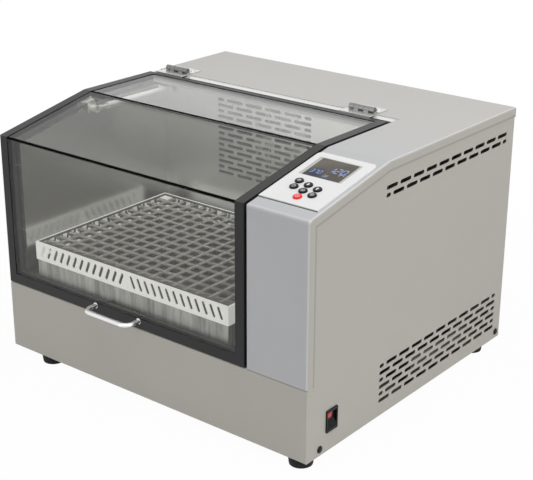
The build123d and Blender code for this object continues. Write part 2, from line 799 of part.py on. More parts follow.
def lid_handle():
    """Chromed bow of flat oval bar on two round bosses."""
    left, right = handle_roots()
    z = handle_height
    path = FilletPolyline((left, 0, z), (left, -handle_reach, z), (right, -handle_reach, z), (right, 0, z),
                          radius=handle_bend)
    section = Plane(origin=(left, 0, z), x_dir=(1, 0, 0), z_dir=(0, -1, 0))
    handle = sweep(section * Ellipse(handle_bar[0] / 2, handle_bar[1] / 2), path=path)
    for x in (left, right):
        handle += bar_y(x, z, handle_boss[0], -handle_boss[1], 0)
        handle -= bar_y(x, z, handle_screw + fit, -handle_reach / 2, 0)
    return handle


def leaf_screw_points():
    """(x, z) of the screws through the lid leaves."""
    level = height - leaf_screw_drop
    return [(x + side * leaf_screw_spread, level) for x in hinge_centres for side in (-1, 1)]


def handle_head_level():
    """Depth in the lid at which the heads of the handle's screws start."""
    return lid_depth - handle_screw_head[1] - handle_screw_sink


def lid_screws():
    """Screws into the handle from behind, and through the lid leaves."""
    screws = []
    head_radius, head_height = handle_screw_head
    head = handle_head_level()
    for x in handle_roots():
        shank = bar_y(x, handle_height, handle_screw, -handle_reach / 2 + handle_screw_sink, head)
        screws.append(shank + bar_y(x, handle_height, head_radius, head, head + head_height))
    face = lid_rear + leaf_thickness
    for x, z in leaf_screw_points():
        shank = bar_y(x, z, screw_shank, lid_rear - lid_rear_rail + screw_end, face)
        screws.append(shank + bar_y(x, z, screw_head[0], face, face + screw_head[1]))
    return screws


# ---------------------------------------------------------------- hinges
def knuckles(centre, own):
    """x spans of the knuckles, every other one, of one leaf."""
    step = hinge_length / hinge_knuckles
    start = centre - hinge_length / 2
    spans = [(start + n * step + knuckle_gap / 2, start + (n + 1) * step - knuckle_gap / 2)
             for n in range(hinge_knuckles)]
    return spans[0::2] if own == "base" else spans[1::2]


def hinge_base_leaves():
    """Leaves on the deck, with the outer and middle knuckles and the fixed pin."""
    leaves = []
    for centre in hinge_centres:
        half = leaf_width / 2
        leaf = block(centre - half, centre + half, hinge_y + leaf_reach, hinge_y + base_leaf_depth,
                     height, height + leaf_thickness)
        for x0, x1 in knuckles(centre, "base"):
            leaf += bar_x(hinge_y, hinge_z, hinge_barrel, x0, x1)
            leaf += block(x0, x1, hinge_y, hinge_y + leaf_reach, height, height + leaf_thickness)
            leaf += block(x0, x1, hinge_y, hinge_y + hinge_barrel, height, hinge_z)
        leaf += bar_x(hinge_y, hinge_z, hinge_pin, centre - hinge_length / 2, centre + hinge_length / 2)
        for x, y in hinge_screw_points():
            leaf -= disc((x, y), screw_shank + fit, height - cut, height + leaf_thickness + cut)
        leaves.append(leaf)
    return leaves


def hinge_lid_leaves():
    """Leaves over the lid's rear edge, with the two other knuckles."""
    leaves = []
    low, top = height + lid_leaf_rise, height + lid_leaf_rise + leaf_thickness
    for centre in hinge_centres:
        half = leaf_width / 2
        leaf = block(centre - half, centre + half, lid_rear, hinge_y - leaf_reach, low, top)
        leaf += block(centre - half, centre + half, lid_rear, lid_rear + leaf_thickness,
                      height - lid_leaf_drop, top)
        for x0, x1 in knuckles(centre, "lid"):
            leaf += bar_x(hinge_y, hinge_z, hinge_barrel, x0, x1)
            leaf += block(x0, x1, hinge_y - leaf_reach, hinge_y, low, top)
            leaf += block(x0, x1, hinge_y - hinge_barrel, hinge_y, low, hinge_z)
            leaf -= bar_x(hinge_y, hinge_z, hinge_pin + pin_clearance, x0 - cut, x1 + cut)
        for x, z in leaf_screw_points():
            leaf -= bar_y(x, z, screw_shank + fit, lid_rear - cut, lid_rear + leaf_thickness + cut)
        leaves.append(leaf)
    return leaves


# ---------------------------------------------------------------- gas strut
foot_y, foot_z = hinge_y + strut_foot[0], hinge_z + strut_foot[1]
head_y, head_z = hinge_y + strut_head[0], hinge_z + strut_head[1]
strut_rest = hypot(head_y - foot_y, head_z - foot_z)


def along_strut(distance, offset=0.0):
    """Point on the strut's line, from its cabinet pivot."""
    y = foot_y + (head_y - foot_y) * distance / strut_rest
    z = foot_z + (head_z - foot_z) * distance / strut_rest
    return (strut_x + offset, y, z)


def strut_wall_bracket():
    """Plate on the left chamber wall with the stud that the cylinder turns on."""
    half = strut_eye + wall_bracket_margin
    top = min(foot_z + strut_eye, height - ledge_inset - steel) - panel_gap
    rear = min(foot_y + half, chamber_rear - panel_gap)
    inner_side = chamber_left + bracket
    eye_left, eye_right = strut_x - strut_eye_width / 2, strut_x + strut_eye_width / 2
    clip_reach, clip_width = strut_clip
    base = block(chamber_left, inner_side, foot_y - half, rear, foot_z - half, top)
    boss = bar_x(foot_y, foot_z, strut_eye - stud_gap, inner_side, eye_left - stud_gap)
    clip_left = eye_right + stud_gap
    stud = bar_x(foot_y, foot_z, strut_stud, inner_side, clip_left + clip_width / 2)
    clip = bar_x(foot_y, foot_z, strut_stud + clip_reach, clip_left, clip_left + clip_width)
    return base + boss + stud + clip


def gas_strut_cylinder():
    half = strut_eye_width / 2
    body = bar_x(foot_y, foot_z, strut_eye, strut_x - half, strut_x + half)
    body += bar(along_strut(strut_stud + cut), along_strut(tube_start), tube_neck)
    body += bar(along_strut(tube_start), along_strut(tube_end), tube_radius)
    body -= bar(along_strut(tube_solid), along_strut(tube_end - tube_cap), tube_bore)
    mouth = along_strut(tube_end - tube_cap - cut), along_strut(tube_end + cut)
    body -= bar(*mouth, rod_radius + rod_clearance)
    return body - bar_x(foot_y, foot_z, strut_stud + fit, strut_x - half - cut, strut_x + half + cut)


def gas_strut_rod():
    half = strut_eye_width / 2
    rod = bar(along_strut(piston_start), along_strut(strut_rest - strut_stud), rod_radius)
    rod += bar(along_strut(piston_start), along_strut(piston_start + piston_length),
               tube_bore - piston_clearance)
    sleeve_radius, sleeve_length = rod_sleeve
    rod += bar(along_strut(strut_rest - strut_eye - sleeve_length), along_strut(strut_rest - strut_stud),
               sleeve_radius)
    rod += bar_x(head_y, head_z, strut_eye, strut_x - half, strut_x + half)
    return rod - bar_x(head_y, head_z, strut_stud + fit, strut_x - half + bracket, strut_x + half + cut)


def strut_lid_bracket():
    """Folded plate on the lid's left rail, with the stud face beside the rod's socket."""
    up = head_y * slope_cos + (head_z - front_top) * slope_sin
    out = -head_y * slope_sin + (head_z - front_top) * slope_cos
    face = strut_x - strut_eye_width / 2 - stud_gap
    tab = face - 2 * bracket
    under = -rebate - bracket / 2
    low, high = up - lid_bracket_half, up + lid_bracket_half
    down_reach, up_reach = lid_bracket_flange
    flange = on_slope(rectangle(lid_rail, lid_rail + bracket, up - down_reach, up + up_reach), -lid_depth,
                      lid_depth + under)
    arm = on_slope(rectangle(lid_rail, tab + bracket, low, high), under - bracket, bracket)
    drop = on_slope(rectangle(tab, tab + bracket, low, high), out - strut_eye, under - out + strut_eye)
    return flange + arm + drop + bar_x(head_y, head_z, strut_eye - bracket / 2, tab, face)


# ---------------------------------------------------------------- control panel
def key_places():
    """(x, up the slope) of the seven keys: two skewed rows of three, and the power key below."""
    first_x, first_up = housing_left + key_lattice[0], key_lattice[1]
    cells = [(0, 0), (0, 1), (0, 2), (1, 0), (1, 1), (1, 2), (2, 1)]
    return [(first_x + key_step_across[0] * j + key_step_down[0] * i,
             first_up + key_step_across[1] * j + key_step_down[1] * i) for i, j in cells]


KEY_NAMES = ["key_menu", "key_down", "key_up", "key_timer", "key_speed", "key_heat", "key_power"]


def display_face(margin=0.0):
    x, up = housing_left + display_centre[0], display_centre[1]
    return Pos(x, up) * Rectangle(display_size[0] + 2 * margin, display_size[1] + 2 * margin)


def control_overlay():
    """Plastic front of the panel, with the display's window and the key holes."""
    left = housing_left + overlay_left
    right = left + overlay_width
    outline = rectangle(left, right, overlay_foot, overlay_head)
    outline = fillet(nearest(outline.vertices(), (left, overlay_head, 0), (right, overlay_head, 0)),
                     overlay_corner)
    holes = [Pos(*place) * Circle(key_radius + key_hole_gap) for place in key_places()]
    return plate(SLOPE, outline, holes + [display_face(joint_gap)], overlay_thickness,
                 (0, -slope_sin, slope_cos))


def display_module():
    return on_slope(display_face(), -display_depth, display_depth + overlay_thickness - display_recess)


def control_board():
    """Circuit board on pegs under the cover, with a switch below each key."""
    left = housing_left + overlay_left + board_margin
    right = left + overlay_width - 2 * board_margin
    low, high = overlay_foot + board_margin, overlay_head - board_margin
    level = -display_depth - board_thickness
    board = on_slope(rectangle(left, right, low, high), level, board_thickness)
    inset, peg_radius = board_peg
    for x in (left + inset, right - inset):
        for up in (low + inset, high - inset):
            board += on_slope(Pos(x, up) * Circle(peg_radius), -display_depth, display_depth - sheet)
    for place in key_places():
        board += on_slope(Pos(*place) * Circle(switch_radius), -display_depth,
                          display_depth - key_foot - switch_gap)
    return board


def panel_key(place):
    """Round key: a stem through the overlay and a flange that stays behind it."""
    stem = on_slope(Pos(*place) * Circle(key_radius), -key_foot, key_foot + key_proud)
    stem = fillet(stem.edges().filter_by(GeomType.CIRCLE).sort_by(Axis.Z)[-1], key_edge)
    return stem + on_slope(Pos(*place) * Circle(key_radius + key_flange), -sheet, sheet - joint_gap)


# ---------------------------------------------------------------- rocker switch
rocker_x = width - rocker_pivot_depth - sheet
rocker_middle_y = (rocker_y[0] + rocker_y[1]) / 2
rocker_middle_z = (rocker_z[0] + rocker_z[1]) / 2


def rocker_bezel():
    """Switch body with its frame on the side sheet and the well for the rocker."""
    face = width - sheet
    frame = block(face, face + rocker_proud, rocker_y[0], rocker_y[1], rocker_z[0], rocker_z[1])
    frame = fillet(frame.edges().filter_by(Axis.X), rocker_corner)
    gap = rocker_flange + joint_gap
    body = block(face - rocker_body_depth, face, rocker_y[0] + gap, rocker_y[1] - gap,
                 rocker_z[0] + gap, rocker_z[1] - gap)
    half = rocker_width / 2 + rocker_side_gap
    y0, y1 = rocker_middle_y - half, rocker_middle_y + half
    well = bar_y(rocker_x, rocker_middle_z, rocker_length / 2 + rocker_side_gap + rocker_end_gap, y0, y1)
    pin = bar_y(rocker_x, rocker_middle_z, rocker_pin, y0 - cut, y1 + cut)
    return frame + body - well + pin


def mains_rocker():
    """Shallow V between two round ends, at rest tilted to one side."""
    half = rocker_length / 2
    corners = [(rocker_middle, 0), (rocker_end, half), (-2 * rocker_pin, half)]
    corners += [(-2 * rocker_pin, -half), (rocker_end, -half)]
    start = Plane(origin=(rocker_x, rocker_middle_y - rocker_width / 2, rocker_middle_z),
                  x_dir=(1, 0, 0), z_dir=(0, -1, 0))
    outline = Polygon(*corners, align=None) & Circle(half + rocker_side_gap)
    rocker = extrude(outline.face().moved(start.location), amount=rocker_width, dir=(0, 1, 0))
    rocker -= bar_y(rocker_x, rocker_middle_z, rocker_pin + fit, 0, 2 * rocker_middle_y)
    return rocker.rotate(Axis((rocker_x, 0, rocker_middle_z), (0, 1, 0)), -rocker_swing / 2)


# ---------------------------------------------------------------- tray, net and carrier
def slanted_slots(start, end, foot):
    """Slots leaning inwards from both ends of a flange, with a plain triangle in the middle."""
    slot_width, rise = tray_slot
    length = slot_width + (rise - slot_width) / cos(radians(tray_slot_lean))
    middle = (start + end) / 2
    count = int((middle - tray_slot_middle - start - tray_slot_margin) / tray_slot_pitch) + 1
    slots = []
    for side in (-1, 1):
        lean = 90 + side * tray_slot_lean
        for n in range(count):
            place = middle + side * (tray_slot_middle + tray_slot_pitch * n)
            slots.append(Pos(place, foot + rise / 2) * Rot(0, 0, lean) * SlotOverall(length, slot_width))
    return slots


def spring_tray():
    """Shallow tray with slotted flanges, each turned in at its top."""
    top = tray_bottom + tray_height
    foot = tray_bottom + tray_slot_foot
    tray = block(tray_x0, tray_x1, tray_y0, tray_y1, tray_bottom, tray_bottom + steel)
    for y, way in ((tray_y0, 1), (tray_y1, -1)):
        tray += plate(upright(y), rectangle(tray_x0, tray_x1, tray_bottom, top),
                      slanted_slots(tray_x0, tray_x1, foot), steel, (0, way, 0))
        tray += block(tray_x0, tray_x1, min(y, y + way * tray_lip), max(y, y + way * tray_lip),
                      top - steel, top)
    for x, way in ((tray_x0, 1), (tray_x1, -1)):
        plane = Plane(origin=(x, 0, 0), x_dir=(0, 1, 0), z_dir=(1, 0, 0))
        tray += plate(plane, rectangle(tray_y0, tray_y1, tray_bottom, top),
                      slanted_slots(tray_y0, tray_y1, foot), steel, (way, 0, 0))
        tray += block(min(x, x + way * tray_lip), max(x, x + way * tray_lip), tray_y0, tray_y1,
                      top - steel, top)
    return tray


def net_counts():
    spans = (tray_x1 - tray_x0 - 2 * steel, tray_y1 - tray_y0 - 2 * steel)
    return [int((span - 2 * net_border + net_strand) / net_pitch) for span in spans]


def spring_net():
    """Lattice of springs, as one flat net between the flanges."""
    x0, x1 = tray_x0 + steel, tray_x1 - steel
    y0, y1 = tray_y0 + steel, tray_y1 - steel
    columns, rows = net_counts()
    gap = net_pitch - net_strand
    middle_x, middle_y = (x0 + x1) / 2, (y0 + y1) / 2
    holes = [Pos(middle_x + (i - (columns - 1) / 2) * net_pitch, middle_y + (j - (rows - 1) / 2) * net_pitch)
             * Rectangle(gap, gap) for i in range(columns) for j in range(rows)]
    level = Plane(origin=(0, 0, tray_bottom + net_foot))
    return plate(level, rectangle(x0, x1, y0, y1), holes, net_thickness, UP)


def pin_places():
    """(x, y) of the main pin and the two idler pins at rest, at the front of their circles."""
    return [(x, y - orbit_radius) for x, y in [main_axis] + idler_axes]


def platform_carrier():
    """Plate under the tray with its skirt and three bearing bosses."""
    x0, x1 = tray_x0 + carrier_inset, tray_x1 - carrier_inset
    y0, y1 = tray_y0 + carrier_inset, tray_y1 - carrier_inset
    plate_foot = tray_bottom - carrier_plate
    carrier = block(x0, x1, y0, y1, carrier_skirt_foot, tray_bottom)
    carrier -= block(x0 + carrier_skirt, x1 - carrier_skirt, y0 + carrier_skirt, y1 - carrier_skirt,
                     carrier_skirt_foot, plate_foot)
    main, *idlers = pin_places()
    seats = [(main, main_boss, main_pin_bearing)]
    seats += [(idler, idler_boss, idler_pin_bearing) for idler in idlers]
    for place, boss, bearing in seats:
        carrier += disc(place, boss, carrier_boss_foot, plate_foot)
        carrier -= disc(place, bearing + fit, carrier_boss_foot, pin_top + pin_head_gap)
    return carrier


def carrier_bearings():
    foot, top = pin_bearing_foot, pin_bearing_foot + pin_bearing_width
    main, *idlers = pin_places()
    bearings = [ring(main, main_pin_bearing, main_pin + fit, foot, top)]
    return bearings + [ring(idler, idler_pin_bearing, idler_pin + idler_pin_gap, foot, top)
                       for idler in idlers]


# ---------------------------------------------------------------- drive
def drive_plate():
    """Plate on four legs that carries the cranks and the motor."""
    left, right, front, rear = plate_margin
    x0, x1, y0, y1 = orbit_x - left, orbit_x + right, orbit_y - front, orbit_y + rear
    holes = [Pos(*main_axis) * Circle(main_shaft + shaft_hole_gap)]
    holes += [Pos(*motor_axis) * Circle(motor_shaft + shaft_hole_gap)]
    table = plate(Plane(origin=(0, 0, plate_level)), rectangle(x0, x1, y0, y1), holes, plate_thickness, UP)
    for x in (x0 + plate_corner, x1 - plate_corner):
        for y in (y0 + plate_corner, y1 - plate_corner):
            table += disc((x, y), plate_leg, sheet, plate_level)
    return table


def bearing_stacks():
    """Axis, bearing size, shaft radius and lowest bearing level of the three cranks."""
    main_low = plate_top + main_housing[1]
    idler_low = plate_top + main_housing[1]
    stacks = [(main_axis, main_bearing, main_shaft, main_low)]
    return stacks + [(axis, idler_bearing, idler_shaft, idler_low) for axis in idler_axes]


def bearing_housings():
    housings = []
    for n, (axis, bearing, shaft, _) in enumerate(bearing_stacks()):
        flange, flange_thickness, body_radius = main_housing if n == 0 else idler_housing
        body = disc(axis, flange, plate_top, plate_top + flange_thickness)
        body += disc(axis, body_radius, plate_top, housing_top)
        body -= disc(axis, bearing[0] + fit, plate_top + shaft_shoulder, housing_top)
        if n == 0:
            body -= disc(axis, shaft + shaft_hole_gap, plate_top, plate_top + shaft_shoulder)
        housings.append(body)
    return housings


def shaft_bearings():
    """Two ball bearings in each housing."""
    rings = []
    for axis, (outer, thick), shaft, low in bearing_stacks():
        high = housing_top - bearing_recess - thick
        rings += [ring(axis, outer, shaft + fit, level, level + thick) for level in (low, high)]
    return rings


def shaft_seals():
    """Rubber rings on the chamber floor round the turning webs."""
    outer, thick = seal_ring
    seals = [ring(main_axis, main_web + outer, main_web + 2 * fit, floor_top, floor_top + thick)]
    return seals + [ring(axis, idler_web + outer, idler_web + 2 * fit, floor_top, floor_top + thick)
                    for axis in idler_axes]


def drive_crank():
    """Main shaft, its web through the chamber floor and the offset pin."""
    pin = pin_places()[0]
    shaft_top = housing_top - bearing_recess + panel_gap
    crank = disc(main_axis, main_shaft, pulley_level - shaft_end, shaft_top)
    crank += disc(main_axis, main_shaft + shaft_shoulder, shaft_top, weight_level - web_step)
    crank += disc(main_axis, main_web, weight_level - web_step, web_top)
    crank += disc(pin, main_pin + pin_collar, web_top, pin_bearing_foot - joint_gap)
    return crank + disc(pin, main_pin, web_top, pin_top)


def idler_crank_at(n):
    axis, pin = idler_axes[n], pin_places()[1 + n]
    shaft_top = housing_top + panel_gap
    crank = disc(axis, idler_shaft, plate_top + shaft_shoulder + idler_end_gap, shaft_top)
    crank += disc(axis, idler_shaft + idler_shoulder, shaft_top, weight_level + web_step)
    crank += disc(axis, idler_web, weight_level + web_step, web_top)
    crank += disc(pin, idler_pin + pin_collar, web_top, pin_bearing_foot - joint_gap)
    return crank + disc(pin, idler_pin, web_top, pin_top)


def crank_counterweight():
    """Half disc clamped round the web, opposite the pin."""
    low, high = weight_level, weight_level + weight_thickness
    x, y = main_axis
    half = disc(main_axis, weight_radius, low, high)
    half &= block(x - weight_radius, x + weight_radius, y, y + weight_radius, low, high)
    half += disc(main_axis, main_web + weight_ring, low, high)
    return half - disc(main_axis, main_web + fit, low, high)


def pulley(axis, radius):
    low, high = pulley_level, pulley_level + pulley_width
    rim, thick = pulley_flange
    wheel = disc(axis, radius, low, high)
    wheel += disc(axis, radius + rim, low, low + thick)
    return wheel + disc(axis, radius + rim, high - thick, high)


def crank_pulley():
    wheel = pulley(main_axis, crank_pulley_radius)
    low, high = pulley_level, pulley_level + pulley_width
    count, hole_radius = pulley_hole
    offset = (crank_pulley_radius + main_shaft) / 2
    for n in range(count):
        way = radians(360 * (n + 0.5) / count)
        centre = (main_axis[0] + offset * cos(way), main_axis[1] + offset * sin(way))
        wheel -= disc(centre, hole_radius, low, high)
    return wheel - disc(main_axis, main_shaft + fit, low, high)


def motor_pulley():
    """Small pulley with the motor's shaft."""
    shaft = disc(motor_axis, motor_shaft, pulley_level, plate_top + motor_shaft_length)
    return pulley(motor_axis, motor_pulley_radius) + shaft


def drive_motor():
    motor = disc(motor_axis, motor_radius, plate_top, plate_top + motor_height)
    motor = chamfer(motor.edges().sort_by(Axis.Z)[-1], motor_chamfer)
    bore_top = plate_top + motor_shaft_length + motor_shaft_spare
    return motor - disc(motor_axis, motor_shaft + fit, plate_top, bore_top)


def drive_belt():
    """Flat belt round both pulleys."""
    (x0, y), (x1, _) = main_axis, motor_axis

    def loop(grow):
        """Two circles joined by their outer tangents."""
        big, small = crank_pulley_radius + grow, motor_pulley_radius + grow
        lean = (big - small) / (x1 - x0)
        rise = (1 - lean ** 2) ** 0.5
        corners = [(x0 + big * lean, y - big * rise), (x1 + small * lean, y - small * rise)]
        corners += [(x1 + small * lean, y + small * rise), (x0 + big * lean, y + big * rise)]
        return Polygon(*corners, align=None) + Pos(x0, y) * Circle(big) + Pos(x1, y) * Circle(small)

    outline = loop(belt_gap + belt_thickness) - loop(belt_gap)
    edge = pulley_flange[1] + belt_side_gap
    return extrude(Pos(0, 0, pulley_level + edge) * outline, amount=pulley_width - 2 * edge, dir=UP)


# ---------------------------------------------------------------- power, feet and plugs
def power_supply():
    x0 = housing_left + supply_place[0]
    y0 = supply_place[1]
    return block(x0, x0 + supply_size[0], y0, y0 + supply_size[1], sheet, sheet + supply_size[2])


def power_inlet():
    """Flush mains inlet with its socket and three blades."""
    x, z = housing_left + inlet_place[0], inlet_place[1]
    face = depth - sheet
    flange_x, flange_z, flange_y = inlet_flange
    body_x, body_z = inlet_cut[0] - 2 * inlet_gap, inlet_cut[1] - 2 * inlet_gap
    inlet = block(x - flange_x / 2, x + flange_x / 2, face, face + flange_y,
                  z - flange_z / 2, z + flange_z / 2)
    inlet = fillet(inlet.edges().filter_by(Axis.Y), inlet_corner)
    inlet += block(x - body_x / 2, x + body_x / 2, face - inlet_depth, face,
                   z - body_z / 2, z + body_z / 2)
    well_x, well_z = body_x / 2 - inlet_wall, body_z / 2 - inlet_wall
    bottom = face - inlet_depth + inlet_wall
    inlet -= block(x - well_x, x + well_x, bottom, face + flange_y, z - well_z, z + well_z)
    half_x, half_z = inlet_blade[0] / 2, inlet_blade[1] / 2
    for side, level in inlet_blades:
        inlet += block(x + side - half_x, x + side + half_x, bottom, face - inlet_blade_sink,
                       z + level - half_z, z + level + half_z)
    return inlet


def feet():
    """Round tapered rubber feet."""
    places = [(x, y) for x in (foot_left, width - foot_right_inset)
              for y in (foot_front, depth - foot_rear_inset)]
    return [Pos(x, y, -foot_height / 2) * Cone(foot_low_radius, foot_top_radius, foot_height)
            for x, y in places]


def cabinet_screws():
    """Domed screws low in both sides, and the screws of the hinges' base leaves."""
    screws = []
    for side, way in ((sheet, -1), (width - sheet, 1)):
        for y, z in plug_points():
            head = dome((side, y, z), plug_radius, plug_head, (way, 0, 0))
            screws.append(head + bar((side, y, z), (side - way * plug_shank_length, y, z), plug_shank))
    top = height + leaf_thickness
    for point in hinge_screw_points():
        shank = disc(point, screw_shank, height - screw_depth, top)
        screws.append(shank + disc(point, screw_head[0], top, top + screw_head[1]))
    return screws


# ---------------------------------------------------------------- all nodes
nodes = {
    "base_shell": base_shell(),
    "side_panel_left": side_panel_left(),
    "side_panel_right": side_panel_right(),
    "rear_panel": rear_panel(),
    "top_cover": top_cover(),
    "chamber_liner": chamber_liner(),
    "chamber_rear_wall": chamber_rear_wall(),
    "insulation_slabs": insulation_slabs(),
    "air_duct": air_duct(),
    "heater_element": heater_element(),
    "fan_motor": fan_motor(),
    "temperature_probe": temperature_probe(),
    "lid_seal": lid_seal(),
    "hinge_base_leaves": hinge_base_leaves(),
    "strut_wall_bracket": strut_wall_bracket(),
    "control_overlay": control_overlay(),
    "display_module": display_module(),
    "control_board": control_board(),
    "rocker_bezel": rocker_bezel(),
    "drive_plate": drive_plate(),
    "bearing_housings": bearing_housings(),
    "shaft_bearings": shaft_bearings(),
    "shaft_seals": shaft_seals(),
    "drive_motor": drive_motor(),
    "drive_belt": drive_belt(),
    "power_supply": power_supply(),
    "power_inlet": power_inlet(),
    "feet": feet(),
    "cabinet_screws": cabinet_screws(),
    "lid_frame": lid_frame(),
    "lid_panel_front": lid_panel_front(),
    "lid_panel_slope": lid_panel_slope(),
    "lid_panel_top": lid_panel_top(),
    "lid_strips": lid_strips(),
    "lid_handle": lid_handle(),
    "hinge_lid_leaves": hinge_lid_leaves(),
    "strut_lid_bracket": strut_lid_bracket(),
    "lid_screws": lid_screws(),
    "gas_strut_cylinder": gas_strut_cylinder(),
    "gas_strut_rod": gas_strut_rod(),
    "mains_rocker": mains_rocker(),
    "platform_carrier": platform_carrier(),
    "spring_tray": spring_tray(),
    "spring_net": spring_net(),
    "carrier_bearings": carrier_bearings(),
    "drive_crank": drive_crank(),
    "crank_counterweight": crank_counterweight(),
    "crank_pulley": crank_pulley(),
    "idler_crank_left": idler_crank_at(0),
    "idler_crank_right": idler_crank_at(1),
    "motor_pulley": motor_pulley(),
    "fan_impeller": fan_impeller(),
}
for key_name, key_place in zip(KEY_NAMES, key_places()):
    nodes[key_name] = panel_key(key_place)

# ---------------------------------------------------------------- export, in the final frame
front_most = -handle_reach - handle_bar[0] / 2
rear_most = depth - sheet + inlet_flange[2]
shift = Vector(-width / 2, -(front_most + rear_most) / 2, foot_height)

os.makedirs("parts", exist_ok=True)
for name, shapes in nodes.items():
    pieces = shapes if isinstance(shapes, list) else [shapes]
    solids = [solid.moved(Pos(shift)) for piece in pieces for solid in piece.solids()]
    export_step(Compound(solids), f"parts/{name}.step")

# ---------------------------------------------------------------- figures for the motion
head_from_hinge = Vector(0, *strut_head)
open_head = head_from_hinge.rotate(Axis.X, -lid_open)
opened = open_head - Vector(0, *strut_foot)
rest = head_from_hinge - Vector(0, *strut_foot)
turn = (degrees(atan2(rest.Z, rest.Y)) - degrees(atan2(opened.Z, opened.Y))) % 360
stroke = opened.length - rest.length
print("strut turn ratio", round(turn / lid_open, 5), "stroke", round(stroke, 3))
print("slide per radian of lid, m", round(stroke / radians(lid_open) / 1000, 6))
figures = {"lid hinge": (0, hinge_y, hinge_z), "strut pivot": (strut_x, foot_y, foot_z),
           "strut direction": (0, head_y - foot_y, head_z - foot_z), "main crank": (*main_axis, 0),
           "main pin": (*pin_places()[0], 0), "idler left": (*idler_axes[0], 0),
           "idler right": (*idler_axes[1], 0), "motor": (*motor_axis, 0), "fan": (duct_x, fan_y0, fan_z),
           "rocker": (rocker_x, rocker_middle_y, rocker_middle_z)}
for label, point in figures.items():
    place = Vector(*point) + (Vector(0, 0, 0) if "direction" in label else shift)
    print(label, [round(value, 3) for value in place])
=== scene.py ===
"""Looks of an incubated benchtop shaker: finishes of its CAD pieces, and the fine pieces that it lacks."""

import math

import bmesh
import bpy
from bpy.props import FloatProperty, FloatVectorProperty, IntProperty, PointerProperty
from mathutils import Matrix, Vector


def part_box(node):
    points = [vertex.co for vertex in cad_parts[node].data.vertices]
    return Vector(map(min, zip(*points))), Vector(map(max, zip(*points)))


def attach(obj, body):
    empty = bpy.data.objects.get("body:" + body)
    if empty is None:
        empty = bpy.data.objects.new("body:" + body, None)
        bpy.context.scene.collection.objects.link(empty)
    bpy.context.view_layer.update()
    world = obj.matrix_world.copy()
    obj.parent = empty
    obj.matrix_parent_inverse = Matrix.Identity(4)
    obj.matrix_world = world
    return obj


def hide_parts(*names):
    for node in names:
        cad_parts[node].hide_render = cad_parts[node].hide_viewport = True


bl_info = {
    "name": "Incubated benchtop shaker",
    "version": (1, 0, 0),
    "blender": (4, 5, 0),
    "location": "3D View > Sidebar > Shaker",
    "description": "Finishes and fine pieces of an incubated benchtop shaker",
    "category": "Object",
}

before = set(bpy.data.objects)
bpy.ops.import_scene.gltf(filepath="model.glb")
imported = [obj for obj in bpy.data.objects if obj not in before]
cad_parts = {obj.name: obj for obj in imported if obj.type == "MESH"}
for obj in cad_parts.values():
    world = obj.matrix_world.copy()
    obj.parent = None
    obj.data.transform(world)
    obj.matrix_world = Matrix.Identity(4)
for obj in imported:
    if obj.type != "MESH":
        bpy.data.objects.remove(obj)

MM = 0.001
LID_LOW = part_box("lid_frame")[0]
CORNER = Vector((LID_LOW.x, LID_LOW.y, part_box("base_shell")[0].z))   # lid's left edge, front face, bottom
WIDTH = 640.0                                                        # millimetres, here and below
SHEET = 1.2                                                          # thickness of the side sheets
CREASE_HEIGHT = 382.0                                                # foot of the slope
TOP_HEIGHT = 420.0                                                   # flat top of the side outline
SLOPE = math.atan2(TOP_HEIGHT - CREASE_HEIGHT, 194.0)
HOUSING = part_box("top_cover")[1].x - 114 * MM                        # left face of the control housing
WHITE = (1.0, 1.0, 1.0)


def spot(x, y, z):
    """Point in millimetres from the lid's left edge, the front face and the bottom sheet."""
    return CORNER + Vector((x, y, z)) * MM


def slope_place(x, up, out, turn=0.0):
    """Matrix that lays a piece drawn in XY on the slope: x from the housing, up the slope, out of it."""
    crease = Vector((HOUSING, CORNER.y, CORNER.z + CREASE_HEIGHT * MM))
    lean = Matrix.Rotation(SLOPE, 4, "X")
    shift = lean @ Vector((x * MM, up * MM, out * MM))
    return Matrix.Translation(crease + shift) @ lean @ Matrix.Rotation(turn, 4, "Z")


# ---------------------------------------------------------------- settings
class ShakerColours(bpy.types.PropertyGroup):
    """Colours of the finishes, linear."""

    cover: FloatVectorProperty(name="Cover", description="Powder coat of the control housing and deck",
                               subtype="COLOR", default=(0.545, 0.55, 0.56), min=0, max=1)
    deck: FloatVectorProperty(name="Rear deck", description="Powder coat towards the rear",
                              subtype="COLOR", default=(0.575, 0.56, 0.53), min=0, max=1)
    body: FloatVectorProperty(name="Body", description="Powder coat of the lower body and the sides",
                              subtype="COLOR", default=(0.52, 0.50, 0.455), min=0, max=1)
    lid: FloatVectorProperty(name="Lid frame", description="Dark finish of the lid frame",
                             subtype="COLOR", default=(0.016, 0.016, 0.0175), min=0, max=1)
    smoke_front: FloatVectorProperty(name="Front panel", description="Light passed by the front panel",
                                     subtype="COLOR", default=(0.89, 0.89, 0.875), min=0, max=1)
    smoke_slope: FloatVectorProperty(name="Sloping panel", description="Light passed by the sloping panel",
                                     subtype="COLOR", default=(0.855, 0.86, 0.835), min=0, max=1)
    smoke_top: FloatVectorProperty(name="Top panel", description="Light passed by the top panel",
                                   subtype="COLOR", default=(0.97, 0.975, 0.965), min=0, max=1)
    steel: FloatVectorProperty(name="Stainless steel", description="Chamber, tray and brackets",
                               subtype="COLOR", default=(0.60, 0.60, 0.585), min=0, max=1)
    spring: FloatVectorProperty(name="Spring wire", description="Coil springs of the tray",
                                subtype="COLOR", default=(0.36, 0.35, 0.33), min=0, max=1)
    screen: FloatVectorProperty(name="Screen", description="Unlit part of the display",
                                subtype="COLOR", default=(0.115, 0.098, 0.080), min=0, max=1)
    digits: FloatVectorProperty(name="Digits", description="Lit figures of the display",
                                subtype="COLOR", default=(0.16, 0.24, 0.46), min=0, max=1)


